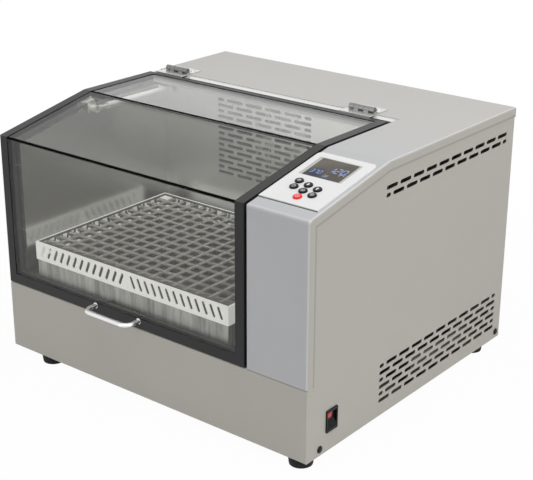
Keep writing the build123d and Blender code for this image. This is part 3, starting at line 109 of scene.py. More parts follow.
class ShakerSprings(bpy.types.PropertyGroup):
    """Sizes of the tray's coil springs."""

    coil: FloatProperty(name="Coil diameter", description="Outside diameter of a spring",
                        unit="LENGTH", default=0.0088, min=0.004, max=0.016)
    wire: FloatProperty(name="Wire diameter", description="Diameter of the spring wire",
                        unit="LENGTH", default=0.0014, min=0.0005, max=0.003)
    turn: FloatProperty(name="Turn pitch", description="Distance from turn to turn",
                        unit="LENGTH", default=0.0022, min=0.0015, max=0.01)
    pitch: FloatProperty(name="Spring pitch", description="Distance from spring to spring",
                         unit="LENGTH", default=0.0246, min=0.01, max=0.06)
    sway: FloatProperty(name="Weave", description="How far a spring rises and dips over its neighbours",
                        unit="LENGTH", default=0.0001, min=0, max=0.01)


class ShakerStudio(bpy.types.PropertyGroup):
    """Lamps and camera."""

    above: FloatProperty(name="Lamp above", description="Power of the soft lamp above",
                         unit="POWER", default=31.5, min=0)
    side: FloatProperty(name="Lamp right", description="Power of the soft lamp at the right",
                        unit="POWER", default=18.0, min=0)
    front: FloatProperty(name="Lamp front", description="Power of the soft lamp in front",
                         unit="POWER", default=10.8, min=0)
    sky: FloatProperty(name="Sky", description="Strength of the even light from all round",
                       default=0.25, min=0, max=1)
    lens: FloatProperty(name="Lens", description="Focal length on a 36 mm sensor, in millimetres",
                        default=87.67, min=20, max=300)


class ShakerFeet(bpy.types.PropertyGroup):
    """Rubber feet."""

    segments: IntProperty(name="Segments", description="Facets round a foot", default=48, min=12, max=128)


# ---------------------------------------------------------------- materials
class Shade:
    """One output of a material's node; arithmetic on it adds Math nodes."""

    def __init__(self, finish, socket):
        self.finish, self.socket = finish, socket

    def maths(self, operation, first, second):
        return self.finish.add("ShaderNodeMath", {"operation": operation}, {0: first, 1: second})

    def __add__(self, other):
        return self.maths("ADD", self, other)

    def __radd__(self, other):
        return self.maths("ADD", other, self)

    def __sub__(self, other):
        return self.maths("SUBTRACT", self, other)

    def __rsub__(self, other):
        return self.maths("SUBTRACT", other, self)

    def __mul__(self, other):
        return self.maths("MULTIPLY", self, other)

    def __rmul__(self, other):
        return self.maths("MULTIPLY", other, self)

    def __pow__(self, other):
        return self.maths("POWER", self, other)

    def __gt__(self, other):
        return self.maths("GREATER_THAN", self, other)


class Nodes:
    """A node tree whose nodes are added by type."""

    def __init__(self, tree):
        self.tree = tree

    def give(self, socket, value):
        """Links a shade to a socket, or writes a number or colour on it."""
        if isinstance(value, Shade):
            self.tree.links.new(value.socket, socket)
        elif hasattr(value, "__len__"):
            length = len(socket.default_value)
            socket.default_value = (tuple(value) + (1.0,) * length)[:length]
        else:
            socket.default_value = value

    def add(self, kind, settings=None, inputs=None, output=0):
        node = self.tree.nodes.new(kind)
        for name, value in (settings or {}).items():
            setattr(node, name, value)
        for key, value in (inputs or {}).items():
            self.give(node.inputs[key], value)
        return Shade(self, node.outputs[output])

    # patterns
    def place(self):
        return self.add("ShaderNodeTexCoord", output="Object")

    def stretched(self, scale, turn=(0, 0, 0)):
        """Object coordinates, turned and stretched."""
        return self.add("ShaderNodeMapping", {"vector_type": "POINT"},
                        {"Vector": self.place(), "Rotation": turn, "Scale": scale})

    def noise(self, scale, detail=2.0, roughness=0.5, vector=None):
        return self.add("ShaderNodeTexNoise", {"noise_dimensions": "3D"},
                        {"Vector": vector or self.place(), "Scale": scale, "Detail": detail,
                         "Roughness": roughness})

    def spread(self, value, low, high, out_low, out_high):
        """Value between two limits, spread over two others and kept inside them."""
        return self.add("ShaderNodeMapRange", {"clamp": True},
                        {"Value": value, "From Min": low, "From Max": high,
                         "To Min": out_low, "To Max": out_high})

    def blend(self, share, first, second):
        """Colour between two colours."""
        return self.add("ShaderNodeMix", {"data_type": "RGBA", "clamp_factor": True},
                        {0: share, 6: first, 7: second}, output=2)

    def toned(self, colour, share, amount):
        """Colour darkened and lightened by up to an amount, by a share from 0 to 1."""
        dark = [part * (1 - amount) for part in colour]
        light = [min(1.0, part * (1 + amount)) for part in colour]
        return self.blend(share, dark, light)

    def axis(self, name):
        """One coordinate of the point on the object."""
        split = self.add("ShaderNodeSeparateXYZ", None, {"Vector": self.place()})
        return Shade(self, split.socket.node.outputs[name])

    def beyond(self, name, limit, soft=0.3 * MM):
        """1 where a coordinate is past a limit, 0 before it."""
        return self.spread(self.axis(name), limit - soft, limit + soft, 0.0, 1.0)

    def between(self, name, low, high, soft=0.3 * MM):
        """1 where a coordinate lies between two limits."""
        return self.beyond(name, low, soft) * (1.0 - self.beyond(name, high, soft))

    def seen(self):
        """1 for rays from the camera, off a mirror or through glass, 0 for the others."""
        path = self.add("ShaderNodeLightPath", output="Is Camera Ray")
        outputs = path.socket.node.outputs
        total = path + Shade(self, outputs["Is Glossy Ray"]) + Shade(self, outputs["Is Transmission Ray"])
        return total > 0.5


class Finish(Nodes):
    """A material built round its main shader."""

    def __init__(self, name, colour=None, roughness=0.5, **sockets):
        self.material = bpy.data.materials.new(name)
        self.material.use_nodes = True
        super().__init__(self.material.node_tree)
        self.shader = self.tree.nodes["Principled BSDF"]
        if colour is not None:
            self.set("Base Color", colour)
        self.set("Roughness", roughness)
        for socket, value in sockets.items():
            self.set(socket.replace("_", " "), value)

    def set(self, socket, value):
        self.give(self.shader.inputs[socket], value)

    def bump(self, height, depth, strength=1.0):
        self.set("Normal", self.add("ShaderNodeBump", None,
                                    {"Strength": strength, "Distance": depth, "Height": height},
                                    output="Normal"))

    def cover(self, shader):
        """Puts a shader on the surface in place of the main one."""
        self.give(self.tree.nodes["Material Output"].inputs["Surface"], shader)


def inward(finish):
    """Distance in from the side outline: front, slope or top, whichever is nearest."""
    y = finish.axis("Y") - CORNER.y
    z = finish.axis("Z") - CORNER.z
    slope = (CREASE_HEIGHT * MM + y * math.tan(SLOPE) - z) * math.cos(SLOPE)
    return finish.add("ShaderNodeMath", {"operation": "MINIMUM"},
                      {0: slope.maths("MINIMUM", slope, y), 1: TOP_HEIGHT * MM - z})


def cover_edges(finish, tone, side):
    """The cover's tone with its side flange, a painted shadow line at the flange's foot, and painted
    highlights on its right bends, its left front edge and the crease at the slope's foot.
    """
    right, face = spot(WIDTH, 0, 0).x, CORNER.y
    bend_share, left_share, crease_share, line_share = 0.45, 0.6, 0.22, 0.32
    line_grey, shine_grey = (0.12, 0.12, 0.11), (0.86, 0.87, 0.88)
    tone = finish.blend(finish.beyond("X", right - 1.4 * MM), tone, side)
    # painted shadow: a dark line along the foot of the side flange, where its edge casts shade
    foot = finish.spread(inward(finish), 12.2 * MM, 13.0 * MM, 0.0, line_share)
    tone = finish.blend(finish.beyond("X", right - 0.3 * MM) * foot, tone, line_grey)
    # painted highlights: lighter bands along the right bends, the housing's left front edge and the crease
    # at the slope's foot
    bend = finish.between("X", right - 3.2 * MM, right - 0.9 * MM, 0.6 * MM)
    left = finish.between("X", HOUSING + 0.1 * MM, HOUSING + 1.7 * MM)
    left = left * (1.0 - finish.beyond("Y", face + 2 * MM))
    crease = finish.between("Z", spot(0, 0, 377.5).z, spot(0, 0, 384.0).z, 1.2 * MM)
    crease = crease * (1.0 - finish.beyond("Y", face + 4 * MM))
    shine = bend * bend_share + left * left_share + crease * crease_share
    return finish.blend(shine, tone, shine_grey)


def powder_coat(name, front, rear=None, side=None):
    """Baked powder paint with faint mottling and orange peel; rear and side are its tones there, and with a
    side it also gets painted highlights on its bends and a painted shadow line at its flange's foot.
    """
    mottling = 0.035
    finish = Finish(name, roughness=0.45, Specular_IOR_Level=0.4)
    cloud = finish.noise(7.0, 3.0)
    speck = finish.noise(900.0, 2.0)
    tone = finish.toned(front, cloud, mottling)
    if rear is not None:
        back = finish.spread(finish.axis("Y"), -0.10, 0.16, 0.0, 1.0)
        tone = finish.blend(back, tone, finish.toned(rear, cloud, mottling))
    if side is not None:
        tone = cover_edges(finish, tone, finish.toned(side, cloud, mottling))
    finish.set("Base Color", tone)
    finish.set("Roughness", 0.38 + 0.10 * speck + 0.06 * cloud)
    finish.bump(finish.noise(1400.0, 1.0), 0.00006, 0.35)
    return finish.material


def brushed(name, colour, stretch, roughness=0.30, streak=0.16, metal=1.0, relief=0.00003):
    """Brushed stainless steel; stretch is small along the brushing."""
    finish = Finish(name, roughness=roughness, Metallic=metal)
    grain = finish.noise(1.0, 3.0, 0.6, finish.stretched(stretch))
    cloud = finish.noise(6.0, 3.0)
    finish.set("Base Color", finish.toned(colour, grain * 0.6 + cloud * 0.4, streak))
    finish.set("Roughness", roughness - 0.06 + 0.12 * grain + 0.08 * cloud)
    finish.bump(grain, relief, 0.5)
    return finish.material


def mottled_steel(name, colour):
    """Sheet steel with broad upright streaks."""
    finish = Finish(name, roughness=0.34, Metallic=0.9)
    streak = finish.noise(1.0, 4.0, 0.65, finish.stretched((75.0, 75.0, 9.0)))
    grain = finish.noise(1.0, 3.0, 0.6, finish.stretched((900.0, 900.0, 30.0)))
    finish.set("Base Color", finish.toned(colour, finish.spread(streak, 0.35, 0.65, 0.0, 1.0), 0.38))
    finish.set("Roughness", 0.26 + 0.16 * streak + 0.06 * grain)
    finish.bump(streak * 0.8 + grain * 0.2, 0.00012, 0.5)
    return finish.material


def tray_sheet(name, flange, floor):
    """Pale pickled flanges that also glow faintly, a painted light, round a floor made dark as painted
    shade under the springs.
    """
    finish = Finish(name, roughness=0.5, Metallic=0.0, Specular_IOR_Level=0.6)
    grain = finish.noise(1.0, 3.0, 0.6, finish.stretched((14.0, 14.0, 900.0)))
    low, high = spot(60.0, 16.0, 0), spot(478.0, 328.0, 0)          # within the flanges
    inside = finish.between("X", low.x, high.x) * finish.between("Y", low.y, high.y)
    # painted shade: the floor inside the flanges is made dark, as the shade under the springs
    finish.set("Base Color", finish.blend(inside, finish.toned(flange, grain, 0.04), floor))
    # painted light: the flanges glow faintly in their own colour
    finish.set("Emission Color", finish.blend(inside, flange, (0.0, 0.0, 0.0)))
    finish.set("Emission Strength", 0.38)
    finish.set("Roughness", 0.40 + 0.12 * grain)
    finish.bump(grain, 0.00002, 0.4)
    return finish.material


def hinge_steel(name, leaf, barrel):
    """Bright leaves and darker barrels."""
    finish = Finish(name, roughness=0.26, Metallic=1.0)
    grain = finish.noise(1.0, 3.0, 0.6, finish.stretched((200.0, 900.0, 900.0)))
    axis, reach, drop = spot(0, 386.0, 426.0), 6.0 * MM, 3.4 * MM   # barrels lie this near the axis
    turned_part = finish.beyond("Z", axis.z - drop) * finish.beyond("Y", axis.y - reach)
    turned_part = turned_part * (1.0 - finish.beyond("Y", axis.y + reach))
    tone = finish.blend(turned_part, leaf, barrel)
    finish.set("Base Color", finish.blend(grain * 0.25, tone, (0.45, 0.45, 0.44)))
    finish.set("Roughness", 0.20 + 0.12 * grain)
    finish.bump(grain, 0.00003, 0.5)
    return finish.material


def chromed(name):
    """Bright chrome with the faintest haze of fine scratches."""
    finish = Finish(name, roughness=0.08, Metallic=1.0)
    haze = finish.noise(60.0, 4.0)
    scratch = finish.noise(1.0, 2.0, 0.5, finish.stretched((3000.0, 60.0, 3000.0)))
    finish.set("Base Color", finish.toned((0.80, 0.80, 0.81), haze, 0.04))
    finish.set("Roughness", 0.05 + 0.05 * haze + 0.03 * scratch)
    finish.bump(scratch, 0.000004, 0.4)
    return finish.material


def machined(name, colour, roughness=0.36):
    """Turned or ground steel."""
    finish = Finish(name, roughness=roughness, Metallic=1.0)
    ground = finish.noise(1.0, 3.0, 0.6, finish.stretched((150.0, 150.0, 2200.0)))
    stain = finish.noise(25.0, 4.0)
    finish.set("Base Color", finish.toned(colour, stain, 0.12))
    finish.set("Roughness", roughness - 0.08 + 0.16 * ground)
    finish.bump(ground, 0.00002, 0.5)
    return finish.material


def cast(name, colour):
    """Grainy cast or sheet aluminium."""
    finish = Finish(name, roughness=0.48, Metallic=1.0)
    grit = finish.noise(500.0, 3.0, 0.6)
    cloud = finish.noise(14.0, 3.0)
    finish.set("Base Color", finish.toned(colour, cloud * 0.6 + grit * 0.4, 0.14))
    finish.set("Roughness", 0.40 + 0.16 * grit)
    finish.bump(grit, 0.0001, 0.4)
    return finish.material


def dark_coat(name, colour, inside):
    """Satin dark finish of the lid frame, a little worn to grey; painted light, a light grey, on the inner
    face of the rear rail.
    """
    finish = Finish(name, roughness=0.34, Specular_IOR_Level=0.28)
    cloud = finish.noise(10.0, 4.0)
    grain = finish.noise(1100.0, 2.0)
    rail = spot(0, 348.0, 414.8)                                    # rear rail behind and below this
    # painted light: the inner face of the rear rail is coloured light grey
    rear = finish.beyond("Y", rail.y) * (1.0 - finish.beyond("Z", rail.z))
    tone = finish.toned(colour, cloud * 0.7 + grain * 0.3, 0.25)
    finish.set("Base Color", finish.blend(rear, tone, inside))
    finish.set("Roughness", 0.32 + 0.08 * cloud + 0.03 * grain)
    finish.bump(grain, 0.00001, 0.25)
    return finish.material


def clear_panel(name, passed):
    """Clear tinted plastic: tints what is behind it, and mirrors more at a glancing angle."""
    finish = Finish(name)
    haze = finish.noise(18.0, 3.0)
    facing = finish.add("ShaderNodeLayerWeight", None, {"Blend": 0.5}, output="Facing")
    straight_on = 0.035
    mirror = (straight_on + (1.0 - straight_on) * facing ** 5.0) * (0.9 + 0.2 * haze)
    window = finish.add("ShaderNodeBsdfTransparent", None, {"Color": passed})
    gloss = finish.add("ShaderNodeBsdfGlossy", None, {"Color": (0.9, 0.9, 0.9), "Roughness": 0.045})
    finish.cover(finish.add("ShaderNodeMixShader", None, {0: mirror, 1: window, 2: gloss}))
    finish.tree.nodes.remove(finish.shader)
    return finish.material


def rubber(name, colour=(0.018, 0.018, 0.018), specular=0.18):
    finish = Finish(name, roughness=0.72, Specular_IOR_Level=specular)
    dust = finish.noise(45.0, 4.0)
    grain = finish.noise(1500.0, 2.0)
    finish.set("Base Color", finish.toned(colour, dust, 0.35))
    finish.set("Roughness", 0.62 + 0.18 * dust)
    finish.bump(grain, 0.00008, 0.4)
    return finish.material


def moulded(name, colour, roughness=0.38, grain_depth=0.00004, specular=0.5):
    """Moulded plastic with a fine spark-eroded grain."""
    finish = Finish(name, roughness=roughness, Specular_IOR_Level=specular)
    grain = finish.noise(1300.0, 2.0)
    cloud = finish.noise(20.0, 2.0)
    finish.set("Base Color", finish.toned(colour, cloud, 0.04))
    finish.set("Roughness", roughness - 0.05 + 0.10 * grain)
    finish.bump(grain, grain_depth, 0.35)
    return finish.material


def mineral_fibre(name):
    finish = Finish(name, roughness=0.95, Sheen_Weight=0.2)
    fibre = finish.noise(1.0, 4.0, 0.7, finish.stretched((500.0, 500.0, 1800.0)))
    clump = finish.noise(60.0, 3.0)
    finish.set("Base Color", finish.blend(fibre, (0.42, 0.37, 0.22), (0.80, 0.76, 0.60)))
    finish.bump(fibre * 0.6 + clump * 0.4, 0.0012, 0.7)
    return finish.material


def board_green(name):
    """Printed circuit board: lacquer over fine tracks."""
    finish = Finish(name, roughness=0.4)
    tracks = finish.add("ShaderNodeTexBrick", {"offset": 0.5},
                        {"Vector": finish.stretched((1.0, 1.0, 1.0), (0, 0, math.radians(45))),
                         "Color1": (0.02, 0.16, 0.07), "Color2": (0.03, 0.20, 0.09),
                         "Mortar": (0.05, 0.30, 0.14), "Scale": 220.0, "Mortar Size": 0.03})
    finish.set("Base Color", tracks)
    finish.set("Roughness", 0.34 + 0.10 * finish.noise(80.0, 2.0))
    return finish.material


def glowing(name, colour, strength):
    """Lit figures: even colour with a faint fall-off at the grain of the film."""
    finish = Finish(name, roughness=0.3, Emission_Strength=strength)
    film = finish.noise(1200.0, 1.0)
    finish.set("Base Color", finish.toned(colour, film, 0.06))
    finish.set("Emission Color", finish.toned(colour, film, 0.10))
    return finish.material


def dress(material, *nodes):
    """Gives CAD nodes their finish."""
    for node in nodes:
        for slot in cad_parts[node].material_slots:
            slot.material = material


# ---------------------------------------------------------------- shapes
def keep(shape, name, body, material, smooth=30.0):
    """Turns a bmesh into a piece that rides on a body."""
    mesh = bpy.data.meshes.new(name)
    shape.to_mesh(mesh)
    shape.free()
    mesh.materials.append(material)
    mesh.shade_smooth()
    mesh.set_sharp_from_angle(angle=math.radians(smooth))
    piece = bpy.data.objects.new(name, mesh)
    bpy.context.scene.collection.objects.link(piece)
    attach(piece, body)
    return piece


def verts_of(made):
    return [item for item in made if isinstance(item, bmesh.types.BMVert)]


def slab(shape, size, place, bevel, segments=2):
    """Box of a size about a placed origin, its edges rounded."""
    made = bmesh.ops.create_cube(shape, size=1.0, matrix=place @ Matrix.Diagonal((*size, 1.0)))["verts"]
    edges = list({edge for vert in made for edge in vert.link_edges})
    bmesh.ops.bevel(shape, geom=edges, offset=bevel, affect="EDGES", segments=segments, profile=0.5,
                    material=-1)


def outline(shape, points, thickness, place):
    """Flat outline in XY, given a thickness upwards."""
    face = shape.faces.new([shape.verts.new((x, y, 0)) for x, y in points])
    made = bmesh.ops.extrude_face_region(shape, geom=[face])["geom"]
    bmesh.ops.translate(shape, verts=verts_of(made), vec=(0, 0, thickness))
    verts = list(face.verts) + verts_of(made)
    bmesh.ops.transform(shape, matrix=place, verts=verts)


def drawing(shape, points, thickness, place):
    """Flat outline drawn in millimetres, given a thickness upwards."""
    outline(shape, [(x * MM, y * MM) for x, y in points], thickness, place)


def annulus(shape, outer, inner, thickness, place, segments):
    """Flat ring in XY, given a thickness upwards."""
    rings = [bmesh.ops.create_circle(shape, segments=segments, radius=radius)["verts"]
             for radius in (outer, inner)]
    edges = [edge for edge in shape.edges if edge.verts[0] in rings[0] + rings[1]]
    faces = bmesh.ops.bridge_loops(shape, edges=edges)["faces"]
    made = bmesh.ops.extrude_face_region(shape, geom=faces)["geom"]
    bmesh.ops.translate(shape, verts=verts_of(made), vec=(0, 0, thickness))
    bmesh.ops.transform(shape, matrix=place, verts=rings[0] + rings[1] + verts_of(made))


def turned(shape, profile, place, segments):
    """Round piece from a (radius, height) profile in millimetres, spun about Z."""
    round_shape = bmesh.new()
    verts = [round_shape.verts.new((radius * MM, 0, height * MM)) for radius, height in profile]
    edges = [round_shape.edges.new(pair) for pair in zip(verts, verts[1:])]
    bmesh.ops.spin(round_shape, geom=verts + edges, cent=(0, 0, 0), axis=(0, 0, 1), angle=math.tau,
                   steps=segments, use_merge=True)
    bmesh.ops.remove_doubles(round_shape, verts=round_shape.verts[:], dist=1e-6)
    bmesh.ops.recalc_face_normals(round_shape, faces=round_shape.faces[:])
    bmesh.ops.transform(round_shape, matrix=place, verts=round_shape.verts[:])
    mesh = bpy.data.meshes.new("turned")
    round_shape.to_mesh(mesh)
    round_shape.free()
    shape.from_mesh(mesh)
    bpy.data.meshes.remove(mesh)


def helix(length, coil, wire, pitch, sides=5, steps=10):
    """Coil spring along X from the origin."""
    shape = bmesh.new()
    start = Matrix.Translation((wire / 2, 0, (coil - wire) / 2)) @ Matrix.Rotation(math.pi / 2, 4, "X")
    ring = bmesh.ops.create_circle(shape, segments=sides, radius=wire / 2, matrix=start)["verts"]
    edges = list({edge for vert in ring for edge in vert.link_edges})
    turns = int((length - wire) / pitch)
    step = (length - wire) / (turns * steps)
    bmesh.ops.spin(shape, geom=ring + edges, cent=(0, 0, 0), axis=(1, 0, 0), dvec=(step, 0, 0),
                   angle=math.tau * turns, steps=turns * steps, use_merge=False, use_duplicate=False)
    bmesh.ops.holes_fill(shape, edges=[edge for edge in shape.edges if edge.is_boundary], sides=sides)
    bmesh.ops.recalc_face_normals(shape, faces=shape.faces[:])
    mesh = bpy.data.meshes.new("coil")
    shape.to_mesh(mesh)
    shape.free()
    return mesh


def all_new(shape, count):
    """Vertices added after the first count."""
    shape.verts.ensure_lookup_table()
    return shape.verts[count:]


# ---------------------------------------------------------------- pieces
class FinishCabinet(bpy.types.Operator):
    """Finishes of the cabinet's sheets and fittings"""

    bl_idname = "shaker.finish_cabinet"
    bl_label = "Cabinet finishes"

    def execute(self, context):
        colours = context.scene.shaker_colours
        dress(powder_coat("cover_powder_coat", colours.cover, colours.deck, colours.body), "top_cover")
        dress(powder_coat("body_powder_coat", colours.body), "base_shell", "side_panel_left",
              "side_panel_right", "rear_panel")
        dress(moulded("overlay_plastic", (0.86, 0.86, 0.86), 0.34), "control_overlay")
        dress(moulded("display_surround", (0.50, 0.53, 0.46), 0.30), "display_module")
        dress(board_green("circuit_board"), "control_board")
        dress(moulded("key_plastic", (0.008, 0.008, 0.009), 0.34, specular=0.16), "key_menu", "key_down",
              "key_up", "key_timer", "key_speed", "key_heat")
        dress(moulded("power_key_plastic", (0.92, 0.030, 0.028), 0.34, specular=0.25), "key_power")
        dress(moulded("switch_plastic", (0.007, 0.007, 0.008), 0.36, specular=0.16), "rocker_bezel",
              "power_inlet")
        dress(moulded("rocker_plastic", (0.006, 0.006, 0.007), 0.22, 0.00001, 0.14), "mains_rocker")
        return {"FINISHED"}


class FinishChamber(bpy.types.Operator):
    """Finishes of the chamber, the tray and the parts round them"""

    bl_idname = "shaker.finish_chamber"
    bl_label = "Chamber finishes"

    def execute(self, context):
        colours = context.scene.shaker_colours
        steel = tuple(colours.steel)
        level = (14.0, 14.0, 900.0)
        dress(brushed("liner_steel", steel, level, 0.20, 0.10), "chamber_liner")
        dress(brushed("rear_wall_steel", [part * 1.25 for part in steel], (14.0, 900.0, 900.0), 0.27, 0.06,
                      relief=0.00001), "chamber_rear_wall")
        dress(mottled_steel("carrier_steel", [part * 0.72 for part in steel]), "platform_carrier")
        dress(tray_sheet("tray_steel", (0.95, 0.95, 0.93), (0.10, 0.10, 0.095)), "spring_tray")
        dress(brushed("bracket_steel", (0.88, 0.88, 0.87), (200.0, 900.0, 900.0), 0.26),
              "strut_wall_bracket", "strut_lid_bracket")
        dress(hinge_steel("hinge_steel", (0.72, 0.72, 0.71), (0.20, 0.20, 0.20)), "hinge_base_leaves",
              "hinge_lid_leaves")
        dress(rubber("seal_rubber"), "lid_seal", "shaft_seals", "drive_belt")
        dress(mineral_fibre("mineral_fibre"), "insulation_slabs")
        return {"FINISHED"}


class FinishLid(bpy.types.Operator):
    """Finishes of the lid, its handle and its gas strut"""

    bl_idname = "shaker.finish_lid"
    bl_label = "Lid finishes"

    def execute(self, context):
        colours = context.scene.shaker_colours
        dress(dark_coat("lid_dark_coat", colours.lid, (0.60, 0.60, 0.58)), "lid_frame")
        dress(rubber("joint_strip_black", (0.002, 0.002, 0.002), 0.02), "lid_strips")
        for node, passed in (("lid_panel_front", colours.smoke_front),
                             ("lid_panel_slope", colours.smoke_slope),
                             ("lid_panel_top", colours.smoke_top)):
            dress(clear_panel(node + "_plastic", tuple(passed)), node)
        dress(chromed("handle_chrome"), "lid_handle")
        dress(brushed("strut_steel", (0.90, 0.90, 0.89), (30.0, 30.0, 900.0), 0.30, 0.05, 0.5),
              "gas_strut_cylinder", "gas_strut_rod")
        dress(machined("screw_head_steel", (0.70, 0.70, 0.69), 0.24), "lid_screws")
        return {"FINISHED"}


class FinishDrive(bpy.types.Operator):
    """Finishes of the shaking drive, the fan, the heater and the supply"""

    bl_idname = "shaker.finish_drive"
    bl_label = "Drive finishes"

    def execute(self, context):
        dress(machined("plate_steel", (0.22, 0.22, 0.225)), "drive_plate")
        dress(machined("ground_steel", (0.50, 0.50, 0.51)), "drive_crank",
              "crank_counterweight", "idler_crank_left", "idler_crank_right", "motor_pulley",
              "shaft_bearings", "carrier_bearings")
        dress(machined("heater_tube", (0.34, 0.31, 0.28), 0.45), "heater_element", "temperature_probe")
        dress(cast("cast_aluminium", (0.62, 0.62, 0.63)), "bearing_housings", "crank_pulley",
              "fan_impeller")
        # painted shade: the duct is dark grey so the rear wall's slots in front of it read dark
        dress(cast("duct_sheet", (0.12, 0.12, 0.12)), "air_duct")
        dress(powder_coat("motor_paint", (0.05, 0.052, 0.056)), "drive_motor", "fan_motor")
        dress(cast("supply_case", (0.20, 0.20, 0.21)), "power_supply")
        return {"FINISHED"}


class CoilSprings(bpy.types.Operator):
    """Crossed coil springs of the tray, all at one level but for their weave"""

    bl_idname = "shaker.coil_springs"
    bl_label = "Coil springs"

    def execute(self, context):
        sizes = context.scene.shaker_springs
        wire = brushed("spring_wire", tuple(context.scene.shaker_colours.spring), (400.0, 400.0, 400.0),
                       0.34, streak=0.25)
        low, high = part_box("spring_net")
        middle = (low + high) / 2
        level = high.z - sizes.coil / 2 - sizes.sway
        spans = (high.x - low.x, high.y - low.y)
        counts = [int((span - sizes.coil) / sizes.pitch) for span in spans]
        names = (("springs_lengthwise_left", "springs_lengthwise_right"),
                 ("springs_crosswise_front", "springs_crosswise_rear"))
        for along in (0, 1):
            across = 1 - along
            mesh = helix(spans[along], sizes.coil, sizes.wire, sizes.turn)
            turn = Matrix.Rotation(math.pi / 2 * along, 4, "Z")
            first = middle[along] - (counts[along] - 1) / 2 * sizes.pitch
            for half in (0, 1):
                shape = bmesh.new()
                for n in range(counts[across]):
                    if (2 * n >= counts[across]) != bool(half):
                        continue
                    offset = (n - (counts[across] - 1) / 2) * sizes.pitch
                    start = Vector((low.x, low.y, level))
                    start[across] = middle[across] + offset
                    count = len(shape.verts)
                    shape.from_mesh(mesh)
                    verts = all_new(shape, count)
                    bmesh.ops.transform(shape, matrix=Matrix.Translation(start) @ turn, verts=verts)
                    side = 1 if (n + along) % 2 else -1
                    for vert in verts:
                        reach = vert.co[along]
                        end = min(reach - low[along], high[along] - reach) / sizes.pitch
                        wave = math.cos(math.pi * (reach - first) / sizes.pitch)
                        vert.co.z += side * sizes.sway * wave * min(1.0, end)
                piece = keep(shape, names[along][half], "platform", wire, smooth=60.0)
                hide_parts("spring_net")
        return {"FINISHED"}


SEGMENTS = {"0": "abcdef", "1": "bc", "2": "abged", "3": "abgcd", "4": "fgbc", "5": "afgcd",
            "6": "afgedc", "7": "abc", "8": "abcdefg", "9": "abcdfg"}


FIGURE_WIDTH, FIGURE_STROKE = 0.52, 0.15        # shares of a figure's height
FIGURE_LEAN = 0.12                              # radians, and the share of the height that it shifts
FIGURE_STEP = 0.78                              # from figure to figure
FIGURE_THICKNESS = 0.05


def digit(shape, character, x, up, height, out):
    """One seven-segment figure, leaning slightly, its foot at (x, up) on the slope."""
    width, thick = height * FIGURE_WIDTH, height * FIGURE_STROKE
    half = height / 2
    bars = {"a": (width / 2, height, 0), "d": (width / 2, 0, 0), "g": (width / 2, half, 0),
            "f": (0, half * 1.5, 1), "b": (width, half * 1.5, 1),
            "e": (0, half / 2, 1), "c": (width, half / 2, 1)}
    for name in SEGMENTS[character]:
        centre_x, centre_up, upright = bars[name]
        reach = (half if upright else width) / 2 - thick * 0.14
        side = thick / 2
        points = [(-reach, 0), (-reach + side, -side), (reach - side, -side),
                  (reach, 0), (reach - side, side), (-reach + side, side)]
        place = slope_place(x + centre_x + centre_up * FIGURE_LEAN, up + centre_up, out,
                            math.pi / 2 - FIGURE_LEAN if upright else 0.0)
        drawing(shape, points, FIGURE_THICKNESS * MM, place)


SCREEN_LEFT, SCREEN_RIGHT = 51.5 - 32.0, 51.5 + 33.5     # from the housing's left face
SCREEN_LOW, SCREEN_HIGH = 134.0 - 27.3, 134.0 + 27.3     # up the slope
SCREEN_FACE = 1.6                                        # out of the slope
# figures, shares of the screen's width and height at their foot, and their height
FIGURES = (("370", 0.08, 0.19, 9.0), ("120", 0.46, 0.38, 14.0), ("08", 0.49, 0.10, 5.5),
           ("24", 0.81, 0.30, 6.5))


class Display(bpy.types.Operator):
    """Screen of the display with its lit figures"""

    bl_idname = "shaker.display"
    bl_label = "Display"

    def execute(self, context):
        colours = context.scene.shaker_colours
        self.screen(tuple(colours.screen))
        self.front_edge()
        self.figures(tuple(colours.digits))
        return {"FINISHED"}

    def screen(self, colour):
        """Dark screen with a bluer patch at its lower left corner."""
        thickness = 0.25
        shape = bmesh.new()
        slab(shape, ((SCREEN_RIGHT - SCREEN_LEFT) * MM, (SCREEN_HIGH - SCREEN_LOW) * MM, thickness * MM),
             slope_place((SCREEN_LEFT + SCREEN_RIGHT) / 2, (SCREEN_LOW + SCREEN_HIGH) / 2,
                         SCREEN_FACE + 0.10), 0.08 * MM)
        glass = Finish("screen_glass", roughness=0.30, Specular_IOR_Level=0.12)
        cloud = glass.noise(35.0, 3.0)
        patch = slope_place(SCREEN_LEFT + 14.0, SCREEN_LOW + 10.0, SCREEN_FACE).translation
        reach = glass.add("ShaderNodeVectorMath", {"operation": "DISTANCE"},
                          {0: glass.place(), 1: patch}, output="Value")
        blue = glass.spread(reach, 6 * MM, 22 * MM, 0.9, 0.0)
        glass.set("Base Color", glass.blend(blue, glass.toned(colour, cloud, 0.35), (0.030, 0.042, 0.085)))
        glass.set("Roughness", 0.26 + 0.08 * cloud)
        keep(shape, "display_screen", "cabinet", glass.material)

    def front_edge(self):
        """Dark strip along the overlay's front edge, a painted shadow under that edge."""
        low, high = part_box("control_overlay")
        middle = ((low.x + high.x) / 2 - HOUSING) / MM
        shape = bmesh.new()
        slab(shape, (high.x - low.x, 1.3 * MM, 0.5 * MM), slope_place(middle, 26.3, 0.2), 0.15 * MM)
        keep(shape, "overlay_front_edge", "cabinet",
             rubber("overlay_edge_shadow", (0.045, 0.052, 0.046)))

    def figures(self, colour):
        """Lit figures in four groups."""
        shape = bmesh.new()
        for text, share_x, share_up, height in FIGURES:
            x = SCREEN_LEFT + share_x * (SCREEN_RIGHT - SCREEN_LEFT)
            up = SCREEN_LOW + share_up * (SCREEN_HIGH - SCREEN_LOW)
            for character in text:
                digit(shape, character, x, up, height, SCREEN_FACE + 0.26)
                x += height * FIGURE_STEP
        bmesh.ops.recalc_face_normals(shape, faces=shape.faces[:])
        keep(shape, "display_figures", "cabinet", glowing("lit_figures", colour, 0.5))


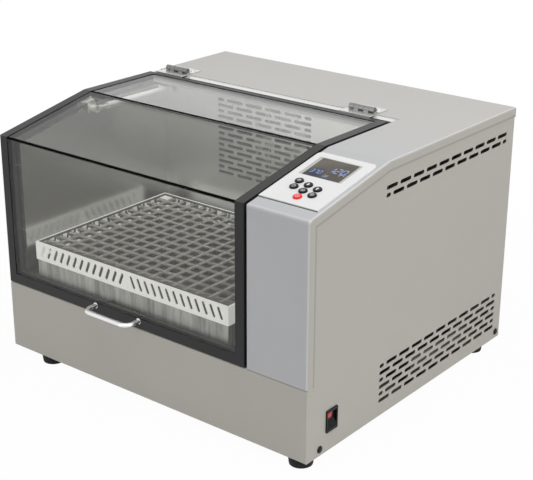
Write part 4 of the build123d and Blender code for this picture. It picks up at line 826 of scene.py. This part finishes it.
KEY_FACE = 4.4 - 0.02                 # out of the slope, just inside the key
KEY_UP, KEY_STEP, KEY_ROW = 85.7, 5.25, 17.3     # first key up the slope, drop by column, drop by row
RING, INNER_RING = (3.2, 2.5, 32), (1.3, 0.7, 20)
ARROW = ([(-2.9, 0.1), (2.9, 0.1), (0, 3.5)], [(-1.1, -3.4), (1.1, -3.4), (1.1, 0.15), (-1.1, 0.15)])
RETURN_ARROW = ([(-3.1, -1.2), (-0.6, 0.8), (-0.6, -3.2)],
                [(-0.7, -1.8), (2.5, -1.8), (2.5, 2.3), (-2.3, 2.3), (-2.3, 1.1), (1.4, 1.1),
                 (1.4, -0.7), (-0.7, -0.7)])
CLOCK_HANDS = ([(-0.3, -0.3), (0.3, -0.3), (0.3, 2.0), (-0.3, 2.0)],
               [(-0.2, -0.3), (1.6, -0.3), (1.6, 0.3), (-0.2, 0.3)])
WEDGE = ([(-0.8, -1.2), (1.5, 0), (-0.8, 1.2)],)
BAR = ([(-0.4, -0.2), (0.4, -0.2), (0.4, 2.1), (-0.4, 2.1)],)
# each key's row and column, and its symbol: turn, rings (radii and facets) and outlines
KEYS = {"key_menu": (0, 0, 0.0, (), RETURN_ARROW), "key_down": (0, 1, math.pi, (), ARROW),
        "key_up": (0, 2, 0.0, (), ARROW), "key_timer": (1, 0, 0.0, (RING,), CLOCK_HANDS),
        "key_speed": (1, 1, 0.0, (RING,), WEDGE), "key_heat": (1, 2, 0.0, (RING, INNER_RING), ()),
        "key_power": (2, 1, 0.0, (RING,), BAR)}


class KeySymbols(bpy.types.Operator):
    """Printed symbols on the keys, each riding on its own key"""

    bl_idname = "shaker.key_symbols"
    bl_label = "Key symbols"

    def execute(self, context):
        print_white = moulded("key_print", (0.80, 0.80, 0.80), 0.5)
        thickness = 0.10 * MM
        for key, (row, column, turn, rings, outlines) in KEYS.items():
            low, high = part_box(key)
            x = ((low.x + high.x) / 2 - HOUSING) / MM
            place = slope_place(x, KEY_UP - KEY_STEP * column - KEY_ROW * row, KEY_FACE, turn)
            shape = bmesh.new()
            for outer, inner, segments in rings:
                annulus(shape, outer * MM, inner * MM, thickness, place, segments)
            for points in outlines:
                drawing(shape, points, thickness, place)
            bmesh.ops.recalc_face_normals(shape, faces=shape.faces[:])
            keep(shape, "symbol_" + key.split("_")[1], key, print_white)
        return {"FINISHED"}


class RockerLamp(bpy.types.Operator):
    """Red lamp window let into the rocker of the mains switch"""

    bl_idname = "shaker.rocker_lamp"
    bl_label = "Rocker lamp"

    def execute(self, context):
        pivot = spot(634.0, 62.0, 50.5)
        tilt = Matrix.Translation(pivot) @ Matrix.Rotation(math.radians(-8.0), 4, "Y")
        lean = math.atan2(3.0, 14.8)
        window = Matrix.Translation((4.50 * MM, -2.0 * MM, 7.6 * MM)) @ Matrix.Rotation(lean, 4, "Y")
        shape = bmesh.new()
        slab(shape, (0.7 * MM, 10.0 * MM, 10.0 * MM), tilt @ window, 0.3 * MM, 3)
        lens = moulded("lamp_red", (0.75, 0.018, 0.014), 0.2, 0.00001)
        keep(shape, "rocker_lamp", "rocker", lens)
        return {"FINISHED"}


# (radius, height) of round pieces, in millimetres
PLUG_PROFILE = ((0, -4.8), (2.4, -4.8), (2.4, 0), (5.9, 0), (6.0, 0.5), (5.4, 1.6), (3.8, 2.5), (1.8, 2.86),
                (0, 2.9))
SCREW_PROFILE = ((0, -10), (1.9, -10), (1.9, 0), (3.9, 0), (4.0, 0.35), (3.5, 1.1), (2.2, 1.55), (1.3, 1.6),
                 (0.9, 0.5), (0, 0.4))
FOOT_PROFILE = ((0, 0), (19.2, 0), (19.8, -0.3), (20.0, -1.0), (19.1, -7.5), (18.5, -12.4), (18.1, -13.5),
                (17.2, -14.0), (12.0, -14.0), (11.2, -13.6), (10.8, -12.6), (10.4, -9.5), (4.6, -9.0),
                (0, -9.0))


class Fixings(bpy.types.Operator):
    """Plugs in the sides and cross-recessed screws in the hinges"""

    bl_idname = "shaker.fixings"
    bl_label = "Plugs and screws"

    def execute(self, context):
        self.side_plugs()
        self.hinge_screws()
        return {"FINISHED"}

    def side_plugs(self):
        shape = bmesh.new()
        for x, way in ((SHEET, -1), (WIDTH - SHEET, 1)):
            for y, z in ((34.0, 11.0), (556.0, 12.0)):
                place = Matrix.Translation(spot(x, y, z)) @ Matrix.Rotation(math.pi / 2 * way, 4, "Y")
                turned(shape, PLUG_PROFILE, place, 28)
        plugs = keep(shape, "side_plugs", "cabinet",
                     moulded("plug_plastic", (0.008, 0.008, 0.008), 0.3, specular=0.2))
        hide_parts("cabinet_screws")

    def hinge_screws(self):
        """Two screws to each base leaf, with crossed recess walls."""
        cross_turn = 0.35
        shape = bmesh.new()
        for centre in (45.0, 456.0):
            for side in (-1, 1):
                place = Matrix.Translation(spot(centre + 20.0 * side, 405.0, 422.0))
                turned(shape, SCREW_PROFILE, place, 24)
                for turn in (cross_turn, cross_turn + math.pi / 2):
                    cross = place @ Matrix.Translation((0, 0, 1.42 * MM)) @ Matrix.Rotation(turn, 4, "Z")
                    slab(shape, (3.2 * MM, 0.5 * MM, 0.36 * MM), cross, 0.1 * MM, 1)
        screws = keep(shape, "hinge_screws", "cabinet",
                      machined("screw_steel", (0.62, 0.62, 0.61), 0.28))
        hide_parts("cabinet_screws")


class RubberFeet(bpy.types.Operator):
    """Tapered rubber feet with rounded rims and a hollow sole"""

    bl_idname = "shaker.rubber_feet"
    bl_label = "Rubber feet"

    def execute(self, context):
        shape = bmesh.new()
        for x in (77.0, 615.0):
            for y in (20.5, 515.0):
                place = Matrix.Translation(spot(x, y, 0.0))
                turned(shape, FOOT_PROFILE, place, context.scene.shaker_feet.segments)
        feet = keep(shape, "rubber_feet", "cabinet", rubber("foot_rubber"))
        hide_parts("feet")
        return {"FINISHED"}


LAMPS = (("lamp_above", "above", (0.35, -0.25, 2.4), 2.4), ("lamp_right", "side", (2.6, -0.3, 1.2), 1.8),
         ("lamp_front", "front", (-0.9, -2.6, 1.3), 1.8))      # name, setting, place and size
LAMP_AIM = Vector((0, 0, 0.25))
CAMERA_PLACE = (1.3057, -1.5959, 1.0181)
CAMERA_ANGLES = (38.69, 21.45, 0.23)                           # azimuth, elevation and roll
FLOOR_EDGE = (0.5, 1.3)                                        # the floor turns plain white between these


class Studio(bpy.types.Operator):
    """Pale floor, soft lamps, white surroundings and the camera"""

    bl_idname = "shaker.studio"
    bl_label = "Studio"

    def execute(self, context):
        settings = context.scene.shaker_studio
        context.scene.view_settings.view_transform = "Standard"
        self.floor(context.scene)
        self.surroundings(context.scene, settings.sky)
        for name, power, place, size in LAMPS:
            light = bpy.data.lights.new(name, "AREA")
            light.shape, light.size, light.energy = "SQUARE", size, getattr(settings, power)
            lamp = bpy.data.objects.new(name, light)
            lamp.location = place
            lamp.rotation_euler = (LAMP_AIM - lamp.location).to_track_quat("-Z", "Y").to_euler()
            context.scene.collection.objects.link(lamp)
        self.camera(context.scene, settings.lens)
        return {"FINISHED"}

    def floor(self, scene):
        """Pale floor that the camera sees nearly white."""
        shape = bmesh.new()
        bmesh.ops.create_grid(shape, x_segments=1, y_segments=1, size=20.0)
        mesh = bpy.data.meshes.new("floor")
        shape.to_mesh(mesh)
        shape.free()
        floor = bpy.data.objects.new("floor", mesh)
        scene.collection.objects.link(floor)
        pale = Finish("pale_floor", (0.82, 0.82, 0.82), 0.9)
        reach = pale.add("ShaderNodeVectorMath", {"operation": "LENGTH"}, {0: pale.place()}, output="Value")
        white = pale.seen() * pale.spread(reach, *FLOOR_EDGE, 0.97, 1.0)
        lit = pale.add("ShaderNodeEmission", None, {"Color": WHITE, "Strength": 1.0})
        plain = Shade(pale, pale.shader.outputs[0])
        pale.cover(pale.add("ShaderNodeMixShader", None, {0: white, 1: plain, 2: lit}))
        mesh.materials.append(pale.material)

    def surroundings(self, scene, strength):
        """Even light of a strength, seen as white."""
        world = bpy.data.worlds.new("studio")
        scene.world = world
        world.use_nodes = True
        sky = Nodes(world.node_tree)
        background = sky.tree.nodes["Background"]
        sky.give(background.inputs["Color"], WHITE)
        sky.give(background.inputs["Strength"], sky.spread(sky.seen(), 0.0, 1.0, strength, 1.0))

    def camera(self, scene, lens):
        azimuth, elevation, roll = (math.radians(angle) for angle in CAMERA_ANGLES)
        back = Vector((math.sin(azimuth) * math.cos(elevation), -math.cos(azimuth) * math.cos(elevation),
                       math.sin(elevation)))
        level = Vector((math.cos(azimuth), math.sin(azimuth), 0))
        over = back.cross(level)
        right = math.cos(roll) * level + math.sin(roll) * over
        up = back.cross(right)
        camera = bpy.data.objects.new("camera", bpy.data.cameras.new("camera"))
        camera.data.lens = lens
        camera.data.sensor_width = 36.0
        camera.data.clip_start, camera.data.clip_end = 0.05, 60.0
        turn = Matrix((right, up, back)).transposed().to_4x4()
        camera.matrix_world = Matrix.Translation(CAMERA_PLACE) @ turn
        scene.collection.objects.link(camera)
        scene.camera = camera


OPERATORS = (Studio, FinishCabinet, FinishChamber, FinishLid, FinishDrive, CoilSprings, Display,
             KeySymbols, RockerLamp, Fixings, RubberFeet)


class SHAKER_PT_pieces(bpy.types.Panel):
    """Pieces and settings of the shaker"""

    bl_idname = "SHAKER_PT_pieces"
    bl_label = "Incubated shaker"
    bl_space_type = "VIEW_3D"
    bl_region_type = "UI"
    bl_category = "Shaker"

    def draw(self, context):
        for settings in ("shaker_colours", "shaker_springs", "shaker_feet", "shaker_studio"):
            group = getattr(context.scene, settings)
            column = self.layout.column()
            for name in group.__annotations__:
                column.prop(group, name)
        for operator in OPERATORS:
            self.layout.operator(operator.bl_idname)


SETTINGS = {"shaker_colours": ShakerColours, "shaker_springs": ShakerSprings, "shaker_feet": ShakerFeet,
            "shaker_studio": ShakerStudio}
CLASSES = (*SETTINGS.values(), *OPERATORS, SHAKER_PT_pieces)


def register():
    for item in CLASSES:
        bpy.utils.register_class(item)
    for name, group in SETTINGS.items():
        setattr(bpy.types.Scene, name, PointerProperty(type=group))


def unregister():
    for name in SETTINGS:
        delattr(bpy.types.Scene, name)
    for item in reversed(CLASSES):
        bpy.utils.unregister_class(item)


def main():
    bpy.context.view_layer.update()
    register()
    for operator in OPERATORS:
        section, name = operator.bl_idname.split(".")
        getattr(getattr(bpy.ops, section), name)()


if __name__ == "__main__":
    main()
